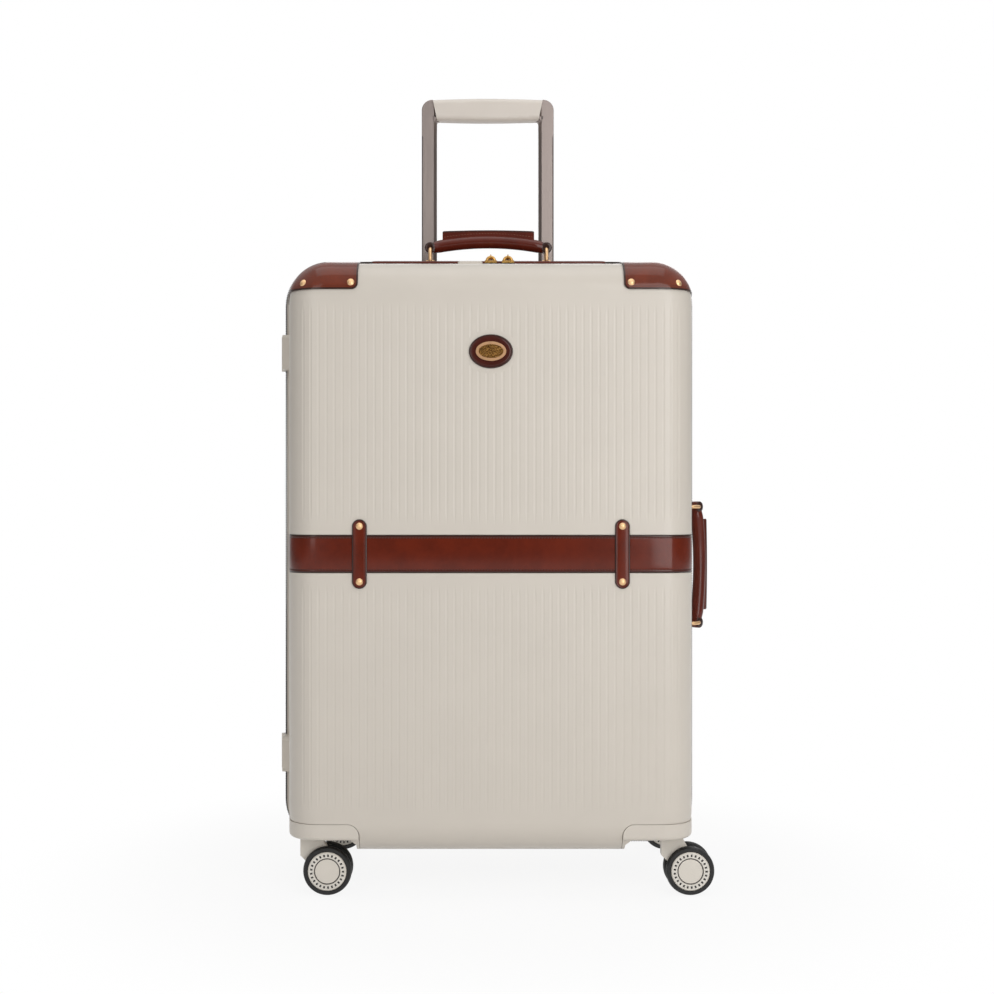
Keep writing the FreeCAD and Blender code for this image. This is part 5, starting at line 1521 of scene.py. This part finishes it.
@dataclass
class NumberLock:
    """The number lock on top of the front half."""

    dials: tuple[tuple[str, float], ...] = (("left_lock_dial", -29.9), ("middle_lock_dial", -23.3),
                                            ("right_lock_dial", -16.7))
    axis: Flat = (-31.6, 739.3)
    radius: float = 5.4
    figure: float = 2.5
    figure_depth: float = 0.04
    figure_count: int = 10

    def build(self) -> None:
        """Gives the lock its finishes and sets figures round the dials."""
        dress(TRIM, "lock_housing")
        dress(DIAL_PLASTIC, *[name for name, place in self.dials])
        dress(BRASS, "lock_release")
        for name, place in self.dials:
            carry(self.figures(name, place), name, Slot.DARK)

    def figures(self, name: str, place: float) -> Piece:
        """The ten figures round a dial, between its notches.

        Args:
            name: The dial's name.
            place: Where the dial is along X.

        Returns:
            The new piece.
        """
        marks = []
        share = 360 / self.figure_count
        for number in range(self.figure_count):
            text = bpy.data.curves.new(f"figure_{number}", "FONT")
            text.body = str(number)
            text.size = self.figure * MM
            text.align_x = "CENTER"
            text.align_y = "CENTER"
            text.extrude = self.figure_depth * MM
            text.resolution_u = 3
            holder = add_object(f"figure_{number}", text)
            mesh = baked(holder)
            bpy.data.objects.remove(holder)
            turn = Matrix.Rotation(math.radians(share * (number + 0.5)), 4, "X")
            out = Matrix.Translation((0.0, 0.0, self.radius * MM))
            spot = Matrix.Translation(Vector((place, *self.axis)) * MM)
            mesh.transform(spot @ turn @ out)
            cover(mesh, DIAL_INK)
            marks.append(add_object(f"{name}_figure_{number}", mesh))
        return join(f"{name}_figures", marks)


@dataclass
class CarryHandles:
    """The top and side carry handles, with the base, brackets and rings that hold them."""

    span: float = 147.0
    ring_rise: float = 14.0
    bow_rise: float = 7.7
    tube: float = 8.0
    tube_gap: float = 1.0
    tube_rows: int = 49
    tube_sides: int = 28
    taper: float = 12.0
    taper_share: float = 0.2
    loop: float = 7.0
    loop_hole: float = 2.6
    loop_width: float = 14.0
    loop_recess: float = 0.8
    loop_sides: int = 32
    seam_half: float = 58.0
    seam_top: float = 35.7
    seam_corner: float = 0.8
    seam_thickness: float = 3.2
    seam_flatness: float = 4.0
    seam_rows: int = 65
    seam_sunk: float = 2.0
    seam_least: float = 0.9
    smooth: float = 50.0
    top_pivot: Point = (0.0, 47.0, 760.0)
    side_pivot: Point = (254.56, 47.0, 372.8)
    side_swing: float = 45.0
    base_half: Flat = (149.0, 31.0)
    base_centre: Flat = (0.0, 47.5)
    base_top: float = 753.5
    base_rounding: float = 0.5
    base_stitch_inset: float = 5.0
    base_stitch_corner: float = 5.0
    base_stitch_rise: float = 0.1
    stitch: Point = (2.7, 0.75, 0.7)
    stitch_spacing: float = 3.6
    grip_slant: float = 0.16
    base_slant: float = 0.14
    seam_stitch_points: int = 60
    seam_stitch_end: float = 3.0
    seam_stitch_rise: float = 2.6
    seam_stitch_out: float = 0.12
    stuffing: float = 1.0

    def build(self, beads: BeadRow) -> None:
        """Makes both grips and the base, and gives the metal its brass.

        Args:
            beads: The tree that sets the stitches.
        """
        lift = Matrix.Translation(self.top_pivot)
        aside = Matrix(((0, 0, 1, 0), (0, 1, 0, 0), (-1, 0, 0, 0), (0, 0, 0, 1)))
        swing = Matrix.Rotation(math.radians(self.side_swing), 4, "Z")
        hang = Matrix.Translation(self.side_pivot) @ swing @ aside
        for body, matrix in ((Body.TOP_HANDLE, lift), (Body.SIDE_HANDLE, hang)):
            grip = self.grip(f"{body.value}_leather", matrix)
            sewn = self.grip_stitches(f"{body.value}_stitches", matrix, beads)
            carry(grip, body, Slot.LEATHER, f"{body.value}_grip")
            carry(sewn, body, Slot.LEATHER)
        dress(SATIN_BRASS, "top_handle_rings", "side_handle_rings", "handle_brackets")
        node = "top_handle_base"
        base = merged_copy("base_leather_cover", BASE_LEATHER, node, round_off=self.base_rounding)
        carry(base, Body.REAR, Slot.LEATHER, node)
        carry(self.base_stitches(beads), Body.REAR, Slot.LEATHER)

    def bow(self) -> float:
        """The radius of the grip's arched middle line."""
        half = self.span / 2
        return (half * half + self.bow_rise * self.bow_rise) / (self.bow_rise * 2)

    def line(self, x: float) -> float:
        """The height of the grip's middle line over the pivot."""
        bow = self.bow()
        return self.ring_rise + self.bow_rise - bow + math.sqrt(bow * bow - x * x)

    def crest(self, x: float) -> float:
        """The height of the seam's upper edge, with rounded ends.

        Args:
            x: The distance from the grip's middle.

        Returns:
            The height over the pivot.
        """
        flat = self.bow() * self.seam_flatness
        sag = flat - math.sqrt(flat * flat - self.seam_half * self.seam_half)
        top = self.seam_top + sag - (flat - math.sqrt(flat * flat - x * x))
        near = self.seam_half - abs(x)
        corner = self.seam_corner
        if near < corner:
            top -= corner - math.sqrt(max(corner * corner - (corner - near) ** 2, 0.0))
        return top

    def grip(self, name: str, matrix: Matrix) -> Piece:
        """A grip: a stuffed tube, a sewn seam along it and a rolled loop at each end.

        Args:
            name: The piece's name.
            matrix: Where the grip goes, in millimetres.

        Returns:
            The new piece.
        """
        surface = Surface()
        self.grip_tube(surface)
        self.grip_seam(surface)
        for way in WAYS:
            self.grip_loop(surface, way * self.span / 2)
        return surface.piece(name, GRIP_LEATHER, matrix, self.smooth)

    def grip_tube(self, surface: Surface) -> None:
        """The stuffed tube, drawn in towards its ends.

        Args:
            surface: Where the tube goes.
        """
        reach = self.span / 2 - self.loop_hole - self.tube_gap
        rows = []
        for x in np.linspace(-reach, reach, self.tube_rows):
            near = min((self.span / 2 - abs(x)) / self.taper, 1.0)
            radius = self.tube * (1 - self.taper_share + self.taper_share * near)
            rows.append([(x, radius * math.cos(angle), self.line(x) + radius * math.sin(angle))
                         for angle in turns(self.tube_sides)])
        surface.solid(rows)

    def grip_seam(self, surface: Surface) -> None:
        """The two edges of the leather, sewn together along the tube and darkened by burnishing.

        Args:
            surface: Where the seam goes.
        """
        half, tube = self.seam_thickness / 2, self.tube
        rows = []
        for x in np.linspace(-self.seam_half, self.seam_half, self.seam_rows):
            low = self.line(x) + self.seam_sunk
            top = max(self.crest(x), self.line(x) + tube * self.seam_least)
            edge = [(half * 1.35, low), (half * 1.2, low + tube - 1.2), (half, top - 3.0),
                    (half + 0.04, top - 1.2), (half * 0.8, top - 0.25), (half * 0.3, top)]
            section = [*[(-y, z) for y, z in edge], (0.0, top - 0.35), *edge[::-1]]
            rows.append([(x, y, z) for y, z in section])
        burnish = [0.0, 0.0, 0.1, 0.9, 1.0, 1.0]
        surface.solid(rows, marks={"burnish": [*burnish, 1.0, *burnish[::-1]]})

    def grip_loop(self, surface: Surface, x: float) -> None:
        """A loop of leather rolled round a ring, its cut ends dark from burnishing and the shallow hole in
        each end painted dark as shade.

        Args:
            surface: Where the loop goes.
            x: The loop's place along the grip.
        """
        half, out, hole = self.loop_width / 2, self.loop, self.loop_hole
        deep = half - self.loop_recess
        right = [(half - 1.4, out), (half - 0.5, out - 0.3), (half, out - 1.2), (half, hole + 0.6),
                 (deep, hole), (deep, 0.0)]
        # The cut ends are dark from burnishing; from the hole's rim inwards the same mark paints the shade of
        # the shallow hole.
        burnish = [0.2, 0.9, 1.0, 1.0, 1.0, 1.0]
        section = [*[(-y, radius) for y, radius in reversed(right)], (0.0, out + 0.12), *right]
        rows = lathe((x, 0.0, self.ring_rise), section, self.loop_sides)
        surface.strip(rows, False, marks={"burnish": [*burnish[::-1], 0.0, *burnish]}, loop=True)

    def grip_stitches(self, name: str, matrix: Matrix, beads: BeadRow) -> Piece:
        """Two rows of stitches through the seam, one on each face.

        Args:
            name: The piece's name.
            matrix: Where the grip goes, in millimetres.
            beads: The tree that sets the stitches.

        Returns:
            The new piece.
        """
        rows = []
        turn = matrix.to_3x3()
        reach = self.seam_half - self.seam_stitch_end
        out = self.seam_thickness / 2 + self.seam_stitch_out
        for number, way in enumerate(WAYS):
            points = [matrix @ Vector((x, way * out, self.line(x) + self.tube + self.seam_stitch_rise))
                      for x in np.linspace(-reach, reach, self.seam_stitch_points)]
            facing = [turn @ Vector((0, way, 0))] * len(points)
            rows.append(beads.lay(f"{name}_{number}", path_piece(points, facing), THREAD, self.stitch_spacing,
                                  self.stitch, self.grip_slant * way))
        return join(name, rows)

    def base_stitches(self, beads: BeadRow) -> Piece:
        """A row of stitches round the base's top.

        Args:
            beads: The tree that sets the stitches.

        Returns:
            The new piece.
        """
        inset = self.base_stitch_inset
        half = (self.base_half[0] - inset, self.base_half[1] - inset)
        ring = rounded_rectangle(half, self.base_stitch_corner, self.base_centre)
        points = [(x, y, self.base_top + self.base_stitch_rise) for x, y in ring]
        line = path_piece(points, [(0.0, 0.0, 1.0)] * len(points), True)
        return beads.lay("base_stitches", line, THREAD, self.stitch_spacing, self.stitch, self.base_slant)


@dataclass
class Trolley:
    """The pull-out trolley: collar, three pairs of tubes, grip, corners and release."""

    inner_face: float = 66.2
    tube_front: Flat = (96.5, 111.5)
    corner_low: float = 927.9
    chamfer: float = 4.0
    seam: float = 0.8
    inner_bend: float = 4.0
    bend_steps: int = 8
    hidden: float = 1.5
    grip_low: float = 948.6
    close: float = 0.1
    face_close: float = 0.4
    shortest: float = 5.0

    def build(self) -> None:
        """Makes the corners and gives the trolley its finishes."""
        dress(TRIM, "trolley_collar")
        dress(ALLOY, "trolley_outer_tubes", "trolley_middle_tubes", "trolley_inner_tubes", "release_button")
        carry(self.corners(), Body.TROLLEY, Slot.ALLOY, "grip_corners")
        dress(GRIP_PLASTIC, "trolley_grip")
        dress(DARK_PLASTIC, "trolley_foot")
        dress(STEEL, "release_linkage")

    def flush(self, point: Vector) -> bool:
        """Whether a point, in metres, lies in the tubes' front or back."""
        return min(abs(point.y / MM - front) for front in self.tube_front) < self.close

    def corners(self) -> Piece:
        """The corner pieces, with the tubes' chamfer carried on along their inner edges.

        Returns:
            The new piece.
        """
        piece = merged_copy("grip_corner_bends", ALLOY, "grip_corners")

        def inside(start: Vector, end: Vector) -> bool:
            """Whether an edge runs up the inner side of a corner piece."""
            level = all(abs(abs(point.x) / MM - self.inner_face) < self.face_close for point in (start, end))
            upright = abs(start.z - end.z) > self.shortest * MM
            return level and upright and self.flush(start) and self.flush(end)

        def below(start: Vector, end: Vector) -> bool:
            """Whether an edge lies round the foot of a corner piece, where it meets its tube."""
            low = all(abs(point.z / MM - self.corner_low) < self.close for point in (start, end))
            return low and (self.flush(start) or self.flush(end))

        bevel_edges(piece, inside, self.chamfer, 1)
        bevel_edges(piece, below, self.seam, 1)
        corners = join("grip_corner_bends", [piece, self.bends()])
        level = corners.modifiers.new("level_faces", "WEIGHTED_NORMAL")
        level.keep_sharp = True
        settle(corners)
        return corners

    def bends(self) -> Piece:
        """The rounded inner bends under the grip, with the same chamfer.

        Returns:
            The new piece.
        """
        surface = Surface()
        front, back = self.tube_front
        cut, bend = self.chamfer, self.inner_bend
        steps = ((front, cut), (front + cut, 0.0), (back - cut, 0.0), (back, cut))
        middle = (self.inner_face - bend, self.grip_low - bend)
        hidden = (self.inner_face + cut + self.hidden, self.grip_low + cut + self.hidden)
        for way in WAYS:
            rows = []
            for depth, wider in steps:
                curve = arc(middle, bend + wider, 0, 90, self.bend_steps)
                rows.append([(way * x, depth, z) for x, z in [*curve, hidden]])
            surface.solid(rows)
        return surface.piece("grip_inner_bends", ALLOY)


@dataclass
class Casters:
    """Four twin-wheel casters, with a line and short dashes round each disc."""

    trail: float = 21.0
    swivel: Flat = (209.0, 113.0)
    axle_height: float = 28.0
    face: float = 17.5
    groove: float = 1.6
    ring: float = 14.6
    ring_points: int = 64
    dash_ring: float = 18.3
    dash_points: int = 96
    dash_count: int = 24
    dash_fit: float = 0.999
    dash: Point = (2.0, 2.7, 0.24)
    band: Flat = (15.6, 21.2)
    band_points: int = 72
    band_rise: float = 0.06
    band_sunk: float = -0.05

    def build(self, beads: BeadRow) -> None:
        """Gives the casters their finishes and marks their discs.

        Args:
            beads: The tree that sets the dashes.
        """
        for half, side, _ in HALVES:
            for hand, way in HANDS:
                name = f"{half}_{hand}"
                dress(WHEEL_PLASTIC, f"{name}_fork", f"{name}_wheel_cores")
                dress(STEEL, f"{name}_axle")
                dress(RUBBER, f"{name}_tyres")
                centre = (way * self.swivel[0] + self.trail, side * self.swivel[1], self.axle_height)
                carry(self.bands(name, centre), f"{name}_wheels", Slot.TRIM)
                carry(self.marks(name, centre, beads), f"{name}_wheels", Slot.DARK)

    def bands(self, name: str, centre: Point) -> Piece:
        """The paler printed band round both discs of a caster.

        Args:
            name: The caster's name.
            centre: The middle of its axle.

        Returns:
            The new piece.
        """
        surface = Surface()
        inner, outer = self.band
        low, high = self.face + self.band_sunk, self.face + self.band_rise
        for way in WAYS:
            section = [(way * low, inner), (way * high, inner), (way * high, outer), (way * low, outer)]
            surface.strip(lathe(centre, section, self.band_points), True, loop=True)
        return surface.piece(f"{name}_wheel_bands", WHEEL_BAND)

    def marks(self, name: str, centre: Point, beads: BeadRow) -> Piece:
        """The painted line in the groove and the dashes on both discs of a caster.

        Args:
            name: The caster's name.
            centre: The middle of its axle.
            beads: The tree that sets the dashes.

        Returns:
            The new piece.
        """
        surface = Surface()
        dashes = []
        x, y, z = centre
        ring = self.ring
        for way in WAYS:
            bed = (x, y + way * (self.face - self.groove), z)
            section = [(way * 0.75, ring - 0.7), (way * 0.62, ring), (way * 0.95, ring + 0.45),
                       (way * -0.1, ring)]
            surface.strip(lathe(bed, section, self.ring_points), True, loop=True)
            outside = [(way * (self.face + self.band_rise), self.dash_ring)]
            points = [row[0] for row in lathe(centre, outside, self.dash_points)]
            line = path_piece(points, [(0.0, way, 0.0)] * len(points), True)
            spacing = 2 * math.pi * self.dash_ring / self.dash_count * self.dash_fit
            label = f"{name}_dashes_{way}"
            dashes.append(beads.lay(label, line, WHEEL_LINE, spacing, self.dash, square=True))
        lines = surface.piece(f"{name}_wheel_lines", WHEEL_LINE)
        return join(f"{name}_wheel_marks", [lines, *dashes])


@dataclass
class Interior:
    """The linings and the packing straps."""

    strap_rounding: float = 0.4
    strap_places: Flat = (265.3, 515.3)
    strap_held: Flat = (15.0, 45.0)
    strap_slack: float = 0.1
    rim_held: Flat = (12.0, 50.0)
    cell: float = 16.0
    rounds: int = 6
    slack: float = 2.4
    waves: Flat = (85.0, 32.0)
    wave_shares: Flat = (0.75, 0.25)
    wave_shift: Point = (7.0, 3.0, 5.0)
    least: float = 1e-9
    cut: Flat = (0.77, 0.98)
    areas: Flat = (0.588, 0.651)

    def build(self) -> None:
        """Makes the cloth inside both halves."""
        for (half, _, body), area in zip(HALVES, self.areas):
            cloth = self.lining(half)
            carry(cloth, body, Slot.LINING, f"{half}_lining")
            log.info("%s: %.4f square metres", cloth.name, sum(face.area for face in cloth.data.polygons) / 2)
        node = "packing_straps"
        straps = merged_copy("packing_strap_webbing", WEBBING, node, round_off=self.strap_rounding)
        carry(straps, Body.FRONT, Slot.LINING, node)

    def lining(self, half: str) -> Piece:
        """One half's lining, cut fine enough to take soft waves, and waved away from the shell.

        Args:
            half: The half's name.

        Returns:
            The new piece.
        """
        piece = merged_copy(f"{half}_lining_cloth", LINING, f"{half}_lining")
        with edited(piece.data) as work:
            bmesh.ops.triangulate(work, faces=work.faces)
            for _ in range(self.rounds):
                long_edges = [edge for edge in work.edges if edge.calc_length() > self.cell * MM]
                if not long_edges:
                    break
                bmesh.ops.subdivide_edges(work, edges=long_edges, cuts=1)
                bmesh.ops.triangulate(work, faces=work.faces)
            for vert in work.verts:
                vert.co += self.wave(vert.co / MM, half) * MM
        soften(piece.data)
        return piece

    def wave(self, place: Vector, half: str) -> Vector:
        """How the cloth stands off its shell at a place, in millimetres.

        Args:
            place: A point of the cloth, in millimetres.
            half: The half's name.

        Returns:
            The shift away from the shell.
        """
        def ease(value: float, low: float, high: float) -> float:
            """Rises smoothly from nothing at low to one at high."""
            share = min(max((value - low) / (high - low), 0.0), 1.0)
            return share * share * (3 - 2 * share)

        reaches = (CASE.half_width, CASE.depth, CASE.half_height)
        places = (place.x, place.y, place.z - CASE.centre)
        inward = -Vector([(value / reach) ** 5 / reach for value, reach in zip(places, reaches)])
        if inward.length < self.least:
            return Vector()
        held = ease(abs(place.y), *self.rim_held)
        if half == "front":
            near = min(abs(place.z - height) for height in self.strap_places)
            held *= self.strap_slack + (1 - self.strap_slack) * ease(near, *self.strap_held)
        broad = 0.5 + 0.5 * noise.noise(place / self.waves[0])
        fine = abs(noise.noise(place / self.waves[1] + Vector(self.wave_shift)))
        height = self.wave_shares[0] * broad + self.wave_shares[1] * fine
        return inward.normalized() * held * self.slack * height


@dataclass
class Studio:
    """Pale floor, white surroundings, soft lamps and the camera."""

    camera_place: Point = (-28.3, -1855.0, 458.7)
    lens: float = 54.33
    sensor: float = 36.0
    shift: float = 0.0312
    floor_half: float = 6.0
    floor_grey: Colour = (0.86, 0.86, 0.86, 1.0)
    white: Colour = (1.0, 1.0, 1.0, 1.0)
    shadow_share: float = 0.1
    shadow_reach: Flat = (0.3, 0.62)
    mirrored: Point = (0.1, 0.7, 0.3)
    mirror_middle: Flat = (0.03, 0.2)
    mirror_sides: Flat = (0.45, 0.9)
    mirror_top: Flat = (0.1, 0.75)
    ambient: float = 0.4

    def build(self) -> None:
        """Sets up the studio."""
        bpy.context.scene.view_settings.view_transform = "Standard"
        self.floor()
        self.world()
        self.lamps()
        self.camera()

    def seen(self, wiring: Wiring) -> Socket:
        """One where the camera, a reflection or a refraction looks, and zero for lighting.

        Args:
            wiring: The floor's or the world's wiring.

        Returns:
            The socket with the result.
        """
        path = wiring.add("ShaderNodeLightPath").outputs
        direct = wiring.math("MAXIMUM", path["Is Camera Ray"], path["Is Glossy Ray"])
        return wiring.math("MAXIMUM", direct, path["Is Transmission Ray"])

    def floor(self) -> None:
        """A pale floor that looks white and still takes the case's shadow."""
        half = self.floor_half
        mesh = bpy.data.meshes.new("floor")
        corners = [(-half, -half, 0), (half, -half, 0), (half, half, 0), (-half, half, 0)]
        mesh.from_pydata(corners, [], [(0, 1, 2, 3)])
        material = bpy.data.materials.new("floor_white")
        material.use_nodes = True
        wiring = Wiring(material.node_tree)
        shader = material.node_tree.nodes["Principled BSDF"]
        look = {"Base Color": self.floor_grey, "Roughness": 0.9, "Specular IOR Level": 0.1}
        for name, value in look.items():
            wiring.feed(shader.inputs[name], value)
        glow = wiring.add("ShaderNodeEmission", {"Color": self.white, "Strength": 1.0})
        place = wiring.add("ShaderNodeTexCoord").outputs["Object"]
        away = wiring.add("ShaderNodeVectorMath", {0: place}, operation="LENGTH").outputs["Value"]
        white = wiring.ramp(away, *self.shadow_reach, 1 - self.shadow_share, 1.0)
        share = wiring.math("MULTIPLY", self.seen(wiring), white)
        both = wiring.add("ShaderNodeMixShader", {0: share, 1: shader.outputs[0], 2: glow.outputs[0]})
        output = material.node_tree.nodes["Material Output"]
        wiring.feed(output.inputs["Surface"], both.outputs[0])
        mesh.materials.append(material)
        add_object("floor", mesh)

    def world(self) -> None:
        """White to look at, dimmer in front and at the sides to reflections, and a dim light on the case."""
        world = bpy.data.worlds.new("studio")
        bpy.context.scene.world = world
        world.use_nodes = True
        wiring = Wiring(world.node_tree)
        way = wiring.add("ShaderNodeTexCoord").outputs["Generated"]
        split = wiring.add("ShaderNodeSeparateXYZ", {0: way}).outputs
        aside = wiring.math("ABSOLUTE", split["X"])
        core, middle, sides = self.mirrored
        near = wiring.ramp(aside, *self.mirror_middle, core, middle)
        level = wiring.math("MULTIPLY", near, wiring.ramp(aside, *self.mirror_sides, 1.0, sides))
        level = wiring.math("MAXIMUM", level, wiring.ramp(split["Z"], *self.mirror_top))
        path = wiring.add("ShaderNodeLightPath").outputs
        clear = wiring.math("MAXIMUM", path["Is Camera Ray"], path["Is Transmission Ray"])
        mirror = wiring.math("MULTIPLY", path["Is Glossy Ray"], level)
        unseen = wiring.math("SUBTRACT", 1.0, self.seen(wiring))
        dim = wiring.math("MULTIPLY", unseen, self.ambient)
        strength = wiring.math("MAXIMUM", clear, wiring.math("MAXIMUM", mirror, dim))
        sky = world.node_tree.nodes["Background"]
        wiring.feed(sky.inputs["Color"], self.white)
        wiring.feed(sky.inputs["Strength"], strength)

    def lamps(self) -> None:
        """A broad key from the upper right, a weaker fill from the left, and lights above and behind."""
        self.lamp("key", (0.84, -1.78, 0.95), (0.1, -0.15, 0.42), (1.0, 1.7), 17.0)
        self.lamp("fill", (-1.1, -2.2, 1.2), (-0.1, 0.0, 0.42), (0.7, 1.7), 5.5)
        self.lamp("above", (0.0, -0.2, 2.8), (0.0, 0.0, 0.4), (2.2, 1.6), 12.0)
        self.lamp("back", (0.5, 2.6, 1.6), (0.0, 0.0, 0.5), (2.0, 1.4), 16.0)

    def lamp(self, name: str, place: Point, aim: Point, size: Flat, power: float) -> None:
        """An oblong lamp that points at a place.

        Args:
            name: The lamp's name.
            place: Where it hangs, in metres.
            aim: What it points at, in metres.
            size: Its width and height in metres.
            power: Its power in watts.
        """
        light = bpy.data.lights.new(name, "AREA")
        light.shape = "RECTANGLE"
        light.size, light.size_y = size
        light.energy = power
        holder = bpy.data.objects.new(name, light)
        holder.location = place
        holder.rotation_euler = (Vector(aim) - Vector(place)).to_track_quat("-Z", "Y").to_euler()
        bpy.context.scene.collection.objects.link(holder)

    def camera(self) -> None:
        """A level camera straight in front, as far off as the picture's perspective asks."""
        lens = bpy.data.cameras.new("camera")
        lens.lens = self.lens
        lens.sensor_width = self.sensor
        lens.shift_x = self.shift
        holder = bpy.data.objects.new("camera", lens)
        holder.location = Vector(self.camera_place) * MM
        holder.rotation_euler = (math.pi / 2, 0.0, 0.0)
        bpy.context.scene.collection.objects.link(holder)
        bpy.context.scene.camera = holder


def main() -> None:
    """Builds every sub-assembly in order, then the studio."""
    logging.basicConfig(level=logging.INFO, format="%(message)s")
    beads = BeadRow()
    CaseShells().build()
    LeatherTrim().build(beads)
    Badge().build()
    ZipFastener().build(beads)
    NumberLock().build()
    CarryHandles().build(beads)
    Trolley().build()
    Casters().build(beads)
    Interior().build()
    Studio().build()


if __name__ == "__main__":
    main()
